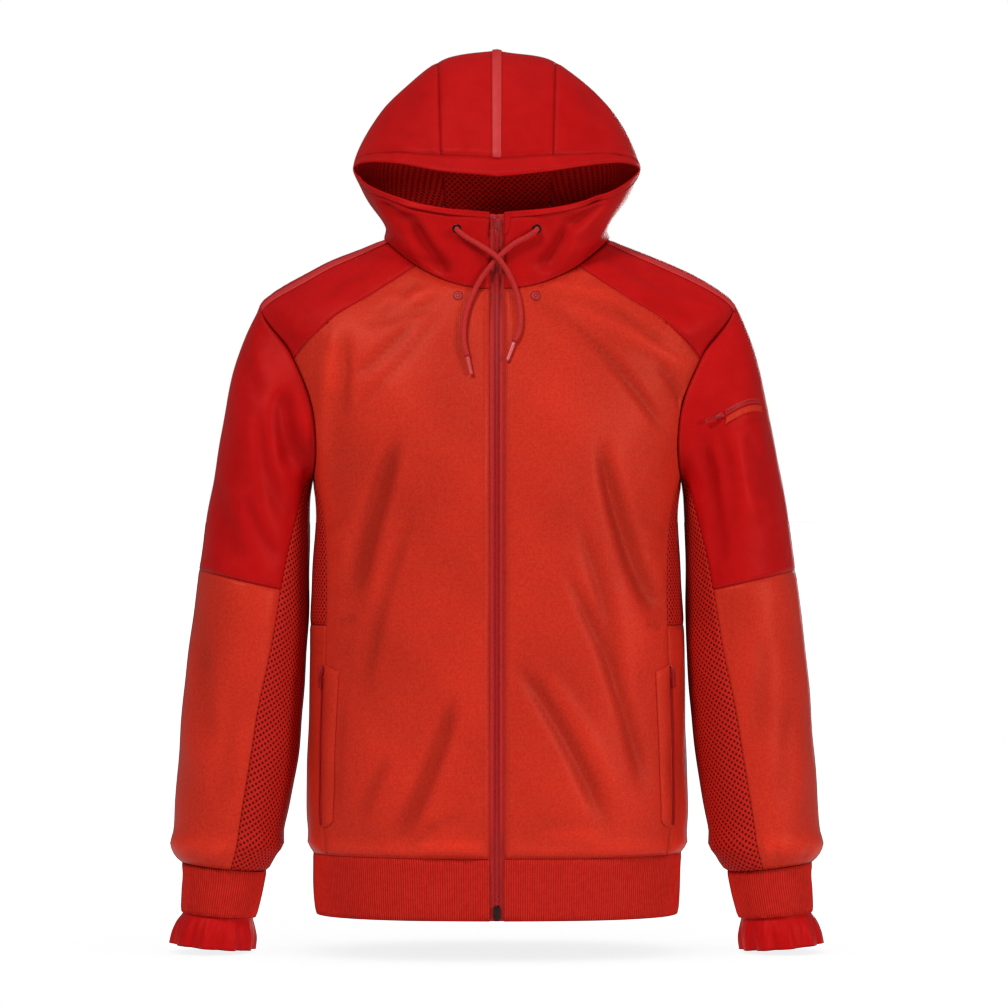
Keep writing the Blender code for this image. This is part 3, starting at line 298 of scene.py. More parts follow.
def hood(u, along):
    """A point of the hood: along is 0 at the neck seam and 1 at the edge of the face."""
    u, along = np.broadcast_arrays(np.asarray(u, float), np.asarray(along, float))
    edge, crown, back, nape = np.moveaxis(through(HOOD, u).reshape(*u.shape, 4, 3), -2, 0)
    stops = np.stack([torso(u, NECK), nape, back, crown, edge])
    slopes = np.gradient(stops, axis=0)
    place = along * 4
    i = np.clip(place.astype(int), 0, 3)
    start, end, slope, next_slope = (
        np.take_along_axis(values, (i + step)[None, ..., None], axis=0)[0]
        for values, step in ((stops, 0), (stops, 1), (slopes, 0), (slopes, 1))
    )
    return hermite((place - i)[..., None], 1, start, end, slope, next_slope)


def armhole(turn):
    """The place on the body of the armhole seam: turn is 0 at the shoulder tip and a half at the armpit."""
    turn = np.asarray(turn, float)
    middle, reach = (SHOULDER_TIP + ARMPIT) / 2, (SHOULDER_TIP - ARMPIT) / 2
    u = 0.5 - ARMHOLE_SPREAD * np.sin(2 * np.pi * turn)
    return np.stack([u, middle + reach * np.cos(2 * np.pi * turn)], axis=-1)


def ring(table, turn, s):
    """A point of an oval ring from a table of rings."""
    turn, s = np.broadcast_arrays(np.asarray(turn, float), np.asarray(s, float))
    outer_x, outer_z, inner_x, inner_z, depth, centre_y = np.moveaxis(through(table, s), -1, 0)
    out, ahead = np.cos(2 * np.pi * turn), np.sin(2 * np.pi * turn)
    x = (outer_x + inner_x) / 2 + out * (outer_x - inner_x) / 2
    z = (outer_z + inner_z) / 2 + out * (outer_z - inner_z) / 2
    return np.stack([x, centre_y - depth * ahead, z], axis=-1)


def sleeve(turn, s):
    """A point of the sleeve: it leaves the armhole seam and settles into the rings of the table."""
    turn, s = np.broadcast_arrays(np.asarray(turn, float), np.asarray(s, float))
    start = torso(*np.moveaxis(armhole(turn), -1, 0)) - ring(SLEEVE, turn, 0 * s)
    fade = np.clip(1 - s / 130, 0, 1) ** 2
    return ring(SLEEVE, turn, s) + start * fade[..., None] + np.array([SEAM_GAP + 0.1, 0, 0])


def cuff(turn, s):
    """A point of the ribbed cuff."""
    return ring(CUFF, turn, s)


def inner_cuff(turn, s):
    """A point of the gathered cuff under the rib, with waves that grow towards its free edge."""
    turn = np.asarray(turn, float)
    wave = np.sin(2 * np.pi * (RUFFLES * turn + 0.06 * np.sin(4 * np.pi * turn + 1)))
    growth = np.clip((np.asarray(s, float) - 14) / 32, 0, 1)
    flat = ring(INNER_CUFF, turn, s)
    middle = flat / 2 + ring(INNER_CUFF, turn + 0.5, s) / 2
    outwards = (flat - middle) / np.linalg.norm(flat - middle, axis=-1, keepdims=True)
    return flat + outwards * (RUFFLE_HEIGHT * wave * growth)[..., None]


def normals(form, first, second):
    """Outward directions of a form at these places."""
    step = NEAR if form is hood else NEAR_MM
    first = np.minimum(first, 1 - 2 * NEAR) if form in (torso, hood) else first
    du = form(first + NEAR, second) - form(first - NEAR, second)
    dv = form(first, second + step) - form(first, second - step)
    across = np.cross(du, dv)
    return across / np.linalg.norm(across, axis=-1, keepdims=True)


def on(form, places):
    """The points of a form at these places, and its outward directions there."""
    first, second = places[..., 0], places[..., 1]
    return form(first, second), normals(form, first, second)


# %% [markdown]
# ## Where the seams run
# A cloth piece is a grid of places on a form between four seams. The seams are the same as the solids', and GRAIN
# says how many fine steps replace one step of the solid.

# %% Places on the seams
GRAIN, EVENING_ROUNDS = 7, 4000
SEARCH_ROUNDS = 40  # for a place on a form, by halving or by Newton's method


def line(start, end, segments):
    """Evenly spaced places from one to another."""
    return np.linspace(np.asarray(start, float), np.asarray(end, float), segments * GRAIN + 1)


def row_at(firsts, second):
    """Places in a row, which share their second number."""
    return np.stack([firsts, 0 * firsts + second], axis=-1)


def chain(*runs):
    """Runs of places joined end to end."""
    return np.concatenate([runs[0]] + [run[1:] for run in runs[1:]])


def finer(values):
    """A table of numbers with GRAIN even steps in place of each one."""
    count = len(values)
    return np.interp(np.linspace(0, count - 1, (count - 1) * GRAIN + 1), np.arange(count), values)


def u_at_x(form, x, second):
    """The u near the front at which a form lies this far from the middle plane."""
    low, high = np.zeros_like(np.asarray(second, float)), np.full_like(np.asarray(second, float), 0.3)
    for _ in range(SEARCH_ROUNDS):
        middle = (low + high) / 2
        near = form(middle, second)[..., 0] < x
        low, high = np.where(near, middle, low), np.where(near, high, middle)
    return (low + high) / 2


def place_seen(form, x, z, guess, steps=(1e-4, 0.1), most=(0.03, 15)):
    """The place on a form that is seen at this x and z from the front, found by Newton's method."""
    place = np.array(guess, float)
    for _ in range(SEARCH_ROUNDS):
        here = form(*place)[[0, 2]]
        beside = np.array([form(place[0] + steps[0], place[1]), form(place[0], place[1] + steps[1])])
        slope = ((beside[:, [0, 2]] - here) / np.array(steps)[:, None]).T
        move = np.linalg.solve(slope, [x, z] - here)
        place = place + np.clip(move, [-most[0], -most[1]], most)
    return place


def torso_place(x, z):
    return place_seen(torso, x, z, (0.15 if x < 60 else 0.25, 600.0))


def collar_place(x, z):
    return place_seen(hood, x, z, (0.1, 0.5), (1e-4, 1e-4), (0.02, 0.1))


def sleeve_place(x, z):
    return place_seen(sleeve, x, z, (0.15, 140.0))


HALF_GIRTH = 540.0
NECK_FRONT = float(u_at_x(torso, ZIP_HALF_GAP, NECK))
YOKE_NECK, HOOD_CENTRE = 0.235, 0.868
YOKE_ROWS = finer([0, 0.36, 0.62, 0.75, 1.0])


def armhole_run(start, end, segments):
    return armhole(np.linspace(start, end, segments * GRAIN + 1))


def side_run(bottom, top, segments, column):
    """Places up the seam between a front (column 1) or the back (column 2) and the side."""
    levels = np.linspace(bottom, top, segments * GRAIN + 1)
    tip = armhole(MESH_TIP if column == 1 else 1 - MESH_TIP)
    table = [(row[0], row[column]) for row in SIDE_SEAM] + [(tip[1], tip[0])]
    return np.stack([through(table, levels)[:, 0], levels], axis=-1)


def yoke_run(segments):
    """Places along the yoke seam, from the neck to the armhole."""
    inner = [torso_place(x, z) for x, z in YOKE_SEAM[1:-1]]
    places = np.array([(YOKE_NECK, NECK), *inner, armhole(YOKE_TIP)])
    table = np.column_stack([np.linspace(0, 1, len(places)), places])
    return through(table, np.linspace(0, 1, segments * GRAIN + 1))


def shares(edge):
    """How far along an edge of places each one is, with u weighed as the body's half girth."""
    steps = np.linalg.norm(np.diff(edge, axis=0) * np.array([HALF_GIRTH, 1.0]), axis=1)
    return np.concatenate([[0], np.cumsum(steps)]) / steps.sum()


def patch(bottom, top, left, right):
    """A grid of places [column, row] filled in between four edges."""
    s = ((shares(bottom) + shares(top)) / 2)[:, None, None]
    t = ((shares(left) + shares(right)) / 2)[None, :, None]
    sides = (1 - t) * bottom[:, None] + t * top[:, None] + (1 - s) * left[None] + s * right[None]
    corners = (1 - s) * ((1 - t) * bottom[0] + t * top[0]) + s * ((1 - t) * bottom[-1] + t * top[-1])
    return sides - corners


def evened(grid):
    """A grid of places with its inner ones evened out, so that no cell folds over where an edge is hollow."""
    grid = grid.copy()
    for _ in range(EVENING_ROUNDS):
        around = grid[2:, 1:-1] + grid[:-2, 1:-1] + grid[1:-1, 2:] + grid[1:-1, :-2]
        grid[1:-1, 1:-1] = around / 4
    return grid


# %% [markdown]
# ## Creases
# A soft crease is a trough with low shoulders. Each row below is one, laid where the real cloth shows it:
# its two ends as seen from the front, how far its middle bows sideways, its width and its depth. A negative depth
# is a ridge. The back has its own, since no two sides of a garment fold alike.

# %% Crease tables: x, z, x, z, bow, width, depth
FRONT_CREASES = (
    (-105, -212, -147, -366, 3, 13, 8.5), (-91, -296, -137, -457, 4, 9, 3), (-46, -478, -99, -611, -4, 11, 7),
    (-112, -532, -141, -595, 2, 10, 3), (-78, -604, -36, -590, 2, 6, 2.6), (-91, -628, -21, -626, -3, 8, -3),
    (-124, -64, -60, -50, 2, 6, -2.6), (-138, -86, -63, -66, 2, 5, 2.4), (-84, -82, -144, -139, -3, 7, 3),
    (-57, -71, -141, -170, -4, 6, 1.8), (-175, -100, -178, -280, 2, 10, -2.6), (-153, -118, -157, -180, 0, 6, 1.8),
    (-165, -395, -146, -388, 1, 5, 2.2), (-160, -478, -167, -583, 0, 7, 1.4), (108, -218, 164, -386, 4, 12, 8.5),
    (63, -71, 174, -197, -6, 7, 4.4), (77, -68, 200, -134, -3, 7, -3), (119, -68, 174, -110, -2, 5, 3),
    (52, -46, 132, -62, -2, 6, -3), (168, -128, 196, -176, -3, 7, 3), (73, -344, 153, -569, -9, 10, 4.6),
    (27, -443, 111, -596, -5, 11, 7), (42, -612, 111, -617, -3, 7, -2.8), (88, -300, 128, -470, -5, 11, 3.2),
    (172, -402, 154, -396, 1, 5, 2.2), (40, -60, 96, -128, -4, 7, 1.8), (-152, -94, -161, -184, 3, 8, 1.6),
    (-168, -94, -171, -158, 0, 8, -1.9), (-188, -308, -154, -284, 2, 5, 1.5), (-188, -331, -159, -322, 2, 5, 1),
    (-188, -373, -154, -362, 0, 6, 0.8), (-60, -602, -93, -631, 3, 7, 1.9), (-44, -636, -8, -631, -1, 4, 1.6),
    (-118, -74, -83, -38, 3, 8, 1.9), (41, -430, 131, -578, -5, 8, -1.4), (8, -631, 50, -636, -1, 4, 1.6),
    (50, -635, 92, -631, 1, 5, 1.4), (180, -310, 150, -289, 2, 5, 1.3), (177, -331, 150, -318, 2, 5, 1),
    (180, -362, 155, -373, 0, 6, 0.8), (-201, -408, -175, -416, 1, 4, 1.2), (-202, -423, -177, -427, 1, 4, 1),
    (175, -406, 198, -402, 1, 4, 1.2), (173, -423, 196, -415, 1, 4, 1), (-128, -26, -186, -58, 3, 8, 1.4),
    (-207, -89, -170, -77, 0, 8, 1.1), (108, -14, 161, -39, -2, 8, 2.2), (124, -32, 203, -58, -3, 7, 1.4),
    (150, -58, 208, -84, -2, 8, 1.4),
)
SLEEVE_CREASES = (
    (-222, -158, -207, -236, 3, 14, 9.2), (-247, -184, -217, -289, 5, 10, 3.5), (-259, -268, -225, -331, 4, 9, 3.1),
    (-296, -247, -270, -331, 0, 14, 2.5), (-270, -89, -247, -163, 3, 12, 2.6), (-307, -415, -296, -520, 3, 14, 2.2),
    (-275, -478, -286, -583, -3, 12, 1.8), (-322, -637, -296, -620, 2, 5, 1.2), (-286, -642, -270, -614, 1, 5, 1.2),
    (-259, -646, -253, -620, 0, 5, 1.1), (243, -191, 292, -178, 2, 5, 2), (213, -205, 230, -331, -3, 12, 5.8),
    (230, -194, 243, -310, -4, 9, 3.1), (250, -205, 268, -289, 3, 9, -1.9), (260, -194, 287, -268, 0, 10, 1.7),
    (243, -249, 273, -240, 1, 5, 1.1), (276, -415, 266, -520, -3, 14, 2.2), (308, -478, 297, -583, 3, 12, 1.8),
    (264, -648, 276, -625, 1, 5, 1.2), (294, -648, 287, -625, 0, 5, 1.2), (318, -644, 324, -623, 0, 5, 1.1),
)
HOOD_CREASES = (
    (-120, 42, -89, 21, 2, 8, 5.5), (-89, 21, -52, -34, 3, 10, 9), (-79, -18, -54, -34, 0, 6, 2.3),
    (-107, 32, -39, 28, -3, 9, -3.2), (110, 45, 72, 14, -2, 8, 5.5), (72, 14, 46, -29, -3, 9, 7.5),
    (117, 3, 90, -20, -1, 7, 3), (82, 33, 35, 26, 2, 9, -2.9), (16, 126, 42, 120, 1, 5, 1.4),
    (-51, 108, -22, 118, -1, 5, 1.4), (-108, 119, -85, 108, 1, 6, 1.4), (-44, 24, -60, -5, 2, 7, 1.2),
    (45, 24, 58, 0, -2, 7, 1.2), (-91, 91, -70, 100, 1, 4, 1.1), (-34, 92, -22, 100, 0, 4, 1),
    (19, 91, 33, 99, 0, 4, 1.1), (66, 91, 87, 100, -1, 4, 1.1), (108, 100, 134, 91, 1, 5, 1.1),
    (-128, 100, -107, 92, 1, 5, 1.1), (-81, 163, -102, 131, 3, 12, 1.9), (87, 163, 112, 126, -3, 12, 1.9),
    (24, 184, 45, 152, -3, 12, 1.4),
)
BACK_CREASES = (
    (-150, -120, -60, -60, 6, 12, 4.5), (155, -130, 70, -66, -6, 12, 4), (-40, -70, 45, -74, -5, 14, 4.1),
    (-165, -180, -120, -300, 8, 18, 10), (170, -190, 128, -290, -7, 17, 8.7), (-100, -330, -40, -450, -6, 20, 8.4),
    (95, -320, 50, -470, 6, 18, 9.2), (-150, -420, -110, -540, 5, 14, 4.7), (150, -430, 120, -560, -5, 13, 4.4),
    (-20, -480, 10, -590, 4, 20, 7.7), (-120, -625, -60, -636, 2, 5, 1.9), (-50, -634, 10, -628, 2, 5, 1.7),
    (20, -636, 90, -630, -2, 5, 1.9), (100, -628, 150, -635, 1, 5, 1.7), (-180, -300, -140, -330, 2, 7, 2),
    (180, -290, 145, -325, -2, 7, 2), (-210, -160, -225, -260, -3, 14, 6.5), (212, -165, 228, -255, 3, 14, 6.5),
    (-260, -310, -300, -335, 3, 10, 3.7), (262, -305, 305, -330, -3, 10, 3.7), (-250, -345, -300, -370, 3, 10, 2.9),
    (250, -350, 305, -368, -3, 10, 2.9), (-290, -430, -270, -560, 4, 14, 3), (292, -440, 272, -550, -4, 14, 3),
    (-60, 30, 0, 8, 5, 9, 3.3), (8, 6, 70, 32, -5, 9, 3), (-90, 60, -40, 90, 6, 12, 3.5),
    (90, 62, 45, 96, -6, 12, 3.5), (-70, 120, -30, 150, 5, 12, 2.5), (75, 118, 35, 152, -5, 12, 2.5),
)


# %% How deep the creases lie at a point
END_REACH, END_FADE = 0.12, 0.34  # shares of a crease's length: how far it runs past its ends, and fades in
TURN_FADE = 2.2  # it has its full depth where the cloth faces its side by more than one in this
BACK_SHARE = 0.6  # the back hangs smoother than the front
BLOUSE, BLOUSE_Z, BLOUSE_REACH = 3.6, -628.0, 9.0  # slack cloth that rolls over the ribbed hem and cuffs


def crease_depth(points, facing, creases):
    """The depth of all creases at points, each faded out where the cloth turns away from its side."""
    total = np.zeros(points.shape[:-1])
    for x0, z0, x1, z1, bow, width, depth in creases:
        run = np.array([x1 - x0, z1 - z0], float)
        length = np.linalg.norm(run)
        offset = points[..., [0, 2]] - np.array([x0, z0], float)
        along = (offset @ run) / length**2
        across = (offset[..., 0] * run[1] - offset[..., 1] * run[0]) / length
        across = (across - bow * 4 * along * (1 - along)) / (width * (0.8 + 0.4 * along))
        ends = np.clip(np.minimum(along + END_REACH, 1 + END_REACH - along) / END_FADE, 0, 1)
        total += depth * ends**2 * (3 - 2 * ends) * np.exp(-(across**2)) * (1 - 0.7 * across**2)
    return total * np.clip(facing * TURN_FADE, 0, 1)


def ripple(points, scale, seed):
    """A smooth uneven wave of size about 1, made of a few sines that never line up."""
    x, y, z = np.moveaxis(points / scale, -1, 0)
    wave = np.sin(x * 5.1 + z * 1.7 + seed) * np.sin(z * 3.3 - y * 2.9 + seed * 2.1)
    return wave + 0.6 * np.sin(x * 2.3 - z * 4.9 + y * 3.7 + seed * 0.7) * np.sin(y * 4.3 + x * 3.1 + seed)


def cloth_relief(points, outs, creases):
    """How far the cloth stands out from its form, in millimetres: slack, less the creases of front and back."""
    inwards = crease_depth(points, -outs[..., 1], creases)
    inwards = inwards + BACK_SHARE * crease_depth(points, outs[..., 1], BACK_CREASES)
    slack = 1.1 * ripple(points, 150, 1.3) + 0.45 * ripple(points, 62, 4.1)
    return slack - inwards + BLOUSE * np.exp(-(((points[..., 2] - BLOUSE_Z) / BLOUSE_REACH) ** 2))


# %% [markdown]
# ## A piece of cloth
# Each piece starts as a flat grid, and its points are set on the form. A seam draws the edge of the cloth in a
# little and puckers it, which is what makes a sewn line read as one. The UV map is the piece's own flat cut in
# metres, so that knit, mesh and rib follow the cloth as they do when it is cut from the roll.

# %% Shell maker
SEAM_ROLL, ROLL_REACH = 0.45, 1.9
PUCKER, PUCKER_PITCH = 0.22, 8.5
EDGE_REACH, EDGE_SHARE = 9, 0.25  # a seam flattens the relief beside it, down to this share
TUCK_ON, TUCK_IN = 3.4, 1.5  # how far a tucked edge runs on past its seam, and inwards
FULL_FOLD_SHADE = 4.4  # at this depth a crease has its full painted shade
BODY = "garment"
HANDS = ((1, "left"), (-1, "right"))  # the wearer's, with the sign of x on each
SURFACES = {}  # each piece's outer points and directions, for the stitches


def arcs(points, axis):
    """Distance along the rows or columns of a grid of points."""
    steps = np.linalg.norm(np.diff(points, axis=axis), axis=-1)
    start = np.zeros_like(np.take(steps, [0], axis=axis))
    return np.concatenate([start, np.cumsum(steps, axis=axis)], axis=axis)


def flat_cut(points):
    """A grid of points laid flat: the distance over the cloth both ways."""
    return np.stack([arcs(points, 0), arcs(points, 1)], axis=-1)


def grid_area(points):
    """The area of a grid of points, in square millimetres."""
    return np.linalg.norm(np.cross(np.diff(points, axis=0)[:, :-1], np.diff(points, axis=1)[:-1]), axis=-1).sum()


def grid_mesh(name, points, flat, closed=False, fold_shade=None):
    """A mesh from a grid operator whose points [column, row] are set in place, with the flat cut as its UV map."""
    columns, rows = points.shape[:2]
    bm = bmesh.new()
    bmesh.ops.create_grid(bm, x_segments=columns - 1, y_segments=rows - 1, size=1)
    uv = bm.loops.layers.uv.new("cut")
    # Each point carries its painted shade, which the knit and woven finishes read.
    hollow = bm.verts.layers.float.new("fold_shade")
    for vert in bm.verts:
        i, j = round((vert.co.x + 1) / 2 * (columns - 1)), round((vert.co.y + 1) / 2 * (rows - 1))
        vert.index = i * rows + j
        vert.co = points[i, j] * MM
        if fold_shade is not None:
            vert[hollow] = fold_shade[i, j]
    for face in bm.faces:
        for loop in face.loops:
            i, j = divmod(loop.vert.index, rows)
            loop[uv].uv = flat[i, j] * MM
    if closed:
        bmesh.ops.remove_doubles(bm, verts=bm.verts, dist=1e-6)
    bm.normal_update()
    mesh = as_mesh(name, bm)
    mesh.shade_smooth()
    return mesh


def piece(name, mesh, look, replaced=(), body=BODY):
    """Links a mesh as a finished piece that rides on a body and stands for its solids."""
    made = placed(name, mesh)
    mesh.materials.append(look)
    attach(made, body)
    if replaced:
        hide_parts(*replaced)
    return made


def bmesh_of(mesh):
    """A mesh as a bmesh to work on."""
    bm = bmesh.new()
    bm.from_mesh(mesh)
    return bm


def face_out(points, outs, mesh):
    """Turns a mesh's faces to point along the form's outward directions."""
    bm = bmesh_of(mesh)
    bm.normal_update()
    bm.faces.ensure_lookup_table()
    face = bm.faces[len(bm.faces) // 2]
    centre = np.array(face.calc_center_median()) / MM
    near = np.argmin(((points - centre) ** 2).sum(axis=-1))
    if np.dot(outs.reshape(-1, 3)[near], face.normal) < 0:
        bmesh.ops.reverse_faces(bm, faces=bm.faces)
        bm.to_mesh(mesh)
    bm.free()


def cloth_piece(name, points, outs, flat, look, thickness=WALL, closed=False, fold_shade=None):
    """A piece of cloth from a grid of points: its faces look outwards, and its thickness goes inwards."""
    mesh = grid_mesh(name, points, flat, closed, fold_shade)
    face_out(points, outs, mesh)
    made = piece(name, mesh, look, (name.replace("cloth_", ""),))
    solid = made.modifiers.new("cloth", "SOLIDIFY")
    solid.thickness = thickness * MM
    solid.offset = -1.0
    solid.use_even_offset = False
    return made


def shell(name, points, outs, look, slot, creases=(), depth=0.0, thickness=WALL, seams=True, tuck=None):
    """A cloth piece from a grid of points on a form and its outward directions."""
    across, along = arcs(points, 0), arcs(points, 1)
    rise = cloth_relief(points, outs, creases) if creases else 0.3 * ripple(points, 150, 1.3)
    if seams:
        edge = np.minimum(np.minimum(across, across[-1:] - across), np.minimum(along, along[:, -1:] - along))
        rise = rise * np.clip(edge / EDGE_REACH, EDGE_SHARE, 1)
        rise = rise - SEAM_ROLL * np.exp(-((edge / ROLL_REACH) ** 2))
        beat = np.sin((across + along) * 2 * np.pi / PUCKER_PITCH + 2 * ripple(points, 60, 2.0))
        rise = rise + PUCKER * beat * np.exp(-edge / 7) * np.clip(edge / 2, 0, 1)
    face = points + outs * (rise - depth)[..., None]
    SURFACES[name] = (face, outs)
    if tuck is not None:  # the first row runs on beneath the next piece, so that no light comes through the seam
        onwards = points[:, 0] - points[:, 1]
        onwards /= np.linalg.norm(onwards, axis=-1, keepdims=True)
        face = face.copy()
        face[:, 0] += np.asarray(tuck)[..., None] * (TUCK_ON * onwards - TUCK_IN * outs[:, 0])
    # The painted shade for the finish: 1 deep in a crease, where it is darkest, and -1 on a crest, where it is
    # lightest.
    fold_shade = np.clip(-rise / FULL_FOLD_SHADE, -1, 1) if creases else None
    made = cloth_piece(name, face, outs, flat_cut(points), look, thickness, fold_shade=fold_shade)
    area, width, length = grid_area(points), float(across[-1].max()), float(along[:, -1].max())
    width = max(width, area / length * 1.001)
    return made


# %% Half and whole pieces on a form
def mirrored(grid, side):
    return grid * np.array([side, 1, 1])


def drawn_back(grid, amount):
    """How far each point of a grid moves so that its four edges leave half a seam gap."""
    shift = np.zeros_like(grid)
    for axis, end, inside in ((0, 0, 1), (0, -1, -2), (1, 0, 1), (1, -1, -2)):
        edge, beside = np.take(grid, end, axis=axis), np.take(grid, inside, axis=axis)
        run = np.gradient(edge, axis=0)
        run /= np.linalg.norm(run, axis=-1, keepdims=True)
        inwards = beside - edge
        inwards -= (inwards * run).sum(axis=-1, keepdims=True) * run
        inwards *= amount / np.linalg.norm(inwards, axis=-1, keepdims=True)
        if axis == 0:
            shift[end] += inwards
        else:
            shift[:, end] += inwards
    return shift


def half_piece(name, form, places, look, side, **settings):
    face, outs = on(form, places)
    face = face + drawn_back(face, SEAM_GAP / 2)
    return shell(name, mirrored(face, side), mirrored(outs, side), look, **settings)


def both_halves(face, outs):
    """Points and directions with their mirror images, joined over the middle plane."""
    return [np.concatenate([mirrored(grid[:0:-1], -1), grid]) for grid in (face, outs)]


def whole_grid(form, places):
    """The points and directions of a piece that crosses the middle plane, from its left half."""
    face, outs = on(form, places)
    outs[0, :, 0] = face[0, :, 0] = 0
    outs /= np.linalg.norm(outs, axis=-1, keepdims=True)
    face, outs = both_halves(face, outs)
    return face + drawn_back(face, SEAM_GAP / 2), outs


def whole_piece(name, form, places, look, **settings):
    return shell(name, *whole_grid(form, places), look, **settings)


# %% [markdown]
# ## Finishes
# Knit and mesh are polyester, knitted; the hood, yokes and upper sleeves are a plain woven polyester. All patterns
# are sized in millimetres of the flat cut. Threads finer than a millimetre are drawn about twice as coarse, since
# they would vanish at this distance.
# The darker gaps, holes and grooves are painted shade, and knit and woven are painted darker in creases and lighter on
# crests.

# %% Parts of a finish
DIAGONAL = math.radians(45)
MIX_LOW, MIX_HIGH, MIX_RESULT = 6, 7, 2  # a mix node's sockets for colours


def on_cut(tree, pitch, turn=0.0):
    """The flat cut's coordinates, in repeats of a pattern of this pitch in millimetres."""
    uv = node(tree, "ShaderNodeUVMap", {}, uv_map="cut")
    place = node(tree, "ShaderNodeMapping", {"Vector": uv.outputs[0], "Rotation": (0, 0, turn)})
    scale = (1000 / pitch, 1000 / pitch, 1)
    return node(tree, "ShaderNodeMapping", {"Vector": place.outputs[0], "Scale": scale}).outputs[0]


def on_object(tree, size):
    """Object coordinates, in repeats of this size in millimetres."""
    where = node(tree, "ShaderNodeTexCoord", {})
    scale = (1000 / size,) * 3
    return node(tree, "ShaderNodeMapping", {"Vector": where.outputs["Object"], "Scale": scale}).outputs[0]


def blend(tree, share, low, high):
    """A colour between two, by a share from 0 to 1. Each is a hex colour or another node's output."""
    inputs = {"Factor": share, MIX_LOW: low, MIX_HIGH: high}
    return node(tree, "ShaderNodeMix", inputs, data_type="RGBA").outputs[MIX_RESULT]


def mottled(tree, size, detail=3.0, roughness=0.6):
    """A soft noise of this size in millimetres, stretched to use its whole range."""
    inputs = {"Vector": on_object(tree, size), "Scale": 1.0, "Detail": detail, "Roughness": roughness}
    return ranged(tree, node(tree, "ShaderNodeTexNoise", inputs).outputs["Fac"], 0.3, 0.7)


def painted_fold_shade(tree, colour, low, high):
    """A colour with painted shade where the cloth sinks into a crease and painted light where it rises to a crest."""
    fold_shade = node(tree, "ShaderNodeAttribute", {}, attribute_name="fold_shade").outputs["Fac"]
    value = ranged(tree, fold_shade, -1.0, 1.0, high, low)
    return node(tree, "ShaderNodeHueSaturation", {"Color": colour, "Value": value}).outputs[0]


def lattice(tree, where):
    """Distance to the nearest point of a square lattice, 0 at a point and 1 half-way between two."""
    inputs = {"Vector": where, "Scale": 1.0, "Randomness": 0.0}
    return node(tree, "ShaderNodeTexVoronoi", inputs, voronoi_dimensions="2D").outputs["Distance"]


def arithmetic(tree, operation, *values):
    return node(tree, "ShaderNodeMath", dict(enumerate(values)), operation=operation).outputs[0]


def inverse(tree, value):
    return arithmetic(tree, "SUBTRACT", 1.0, value)


def finished(parts, colour, *bumps):
    """The material, once its shader has a colour and bumps, each a height and its depth in millimetres."""
    made, tree, shader = parts
    inputs = {}
    for height, depth in bumps:
        inputs |= {"Height": height, "Distance": depth * MM, "Strength": 1.0}
        inputs["Normal"] = node(tree, "ShaderNodeBump", inputs).outputs[0]  # the next bump lies on top of it
    set_inputs(tree, shader, {"Base Color": colour, "Normal": inputs["Normal"]})
    return made


# %% Woven shell, brushed knit
def woven_finish(name, low, high):
    """Plain-weave polyester: crisp and smooth, with a low sheen and a faint crumple that catches the light."""
    light = {"Roughness": 0.46, "Sheen Weight": 0.03, "Sheen Roughness": 0.4, "Sheen Tint": "#FF6050"}
    parts = new_finish(name, light | {"Specular IOR Level": 0.2, "Specular Tint": "#FF8478"})
    tree = parts[1]
    # Painted shade in creases and painted light on crests, set by how deep the cloth lies.
    dye_and_painted_shade = painted_fold_shade(tree, blend(tree, mottled(tree, 24), low, high), 0.84, 1.12)
    threads = lattice(tree, on_cut(tree, 0.9, DIAGONAL))
    return finished(parts, dye_and_painted_shade, (mottled(tree, 34, 4.0, 0.55), 0.5), (threads, 0.05))


def knit_finish(name, low, high, stitch_gap_shade):
    """Tricot with a brushed back: rows of fine stitches with painted shade between them, two-tone yarn, a sheen, and
    painted shade in creases with painted light on crests.
    """
    light = {"Roughness": 0.42, "Sheen Weight": 0.08, "Sheen Roughness": 0.35, "Sheen Tint": "#FF7050"}
    parts = new_finish(name, light | {"Specular IOR Level": 0.3, "Specular Tint": "#FF9478"})
    tree = parts[1]
    stitches = lattice(tree, on_cut(tree, 1.9))
    yarn = blend(tree, mottled(tree, 2.6, 4.0, 0.7), low, high)
    # Painted shade in the gaps between stitches, which also sink in as a bump.
    gap = arithmetic(tree, "MULTIPLY", ranged(tree, stitches, 0.42, 0.68), 0.45)
    dye_and_painted_shade = painted_fold_shade(tree, blend(tree, gap, yarn, stitch_gap_shade), 0.72, 1.24)
    return finished(parts, dye_and_painted_shade, (mottled(tree, 30, 2.0), 0.3), (inverse(tree, stitches), 0.16))


# %% Air mesh, rib, tape and cord
RIB_PITCH, RIB_HEIGHT = 2.4, 0.85


def mesh_finish(name, low, high, hole_shade):
    """Spacer knit with small round holes in a diagonal grid, 4.7 mm apart, which don't go through; the shade inside
    them is painted.
    """
    parts = new_finish(name, {"Roughness": 0.7, "Specular IOR Level": 0.12})
    tree = parts[1]
    # Painted shade in the holes, which also sink in as a bump.
    opened = ranged(tree, lattice(tree, on_cut(tree, 4.7, DIAGONAL)), 0.34, 0.2)
    yarn = blend(tree, mottled(tree, 3.0), low, high)
    return finished(parts, blend(tree, opened, yarn, hole_shade), (inverse(tree, opened), 0.7))


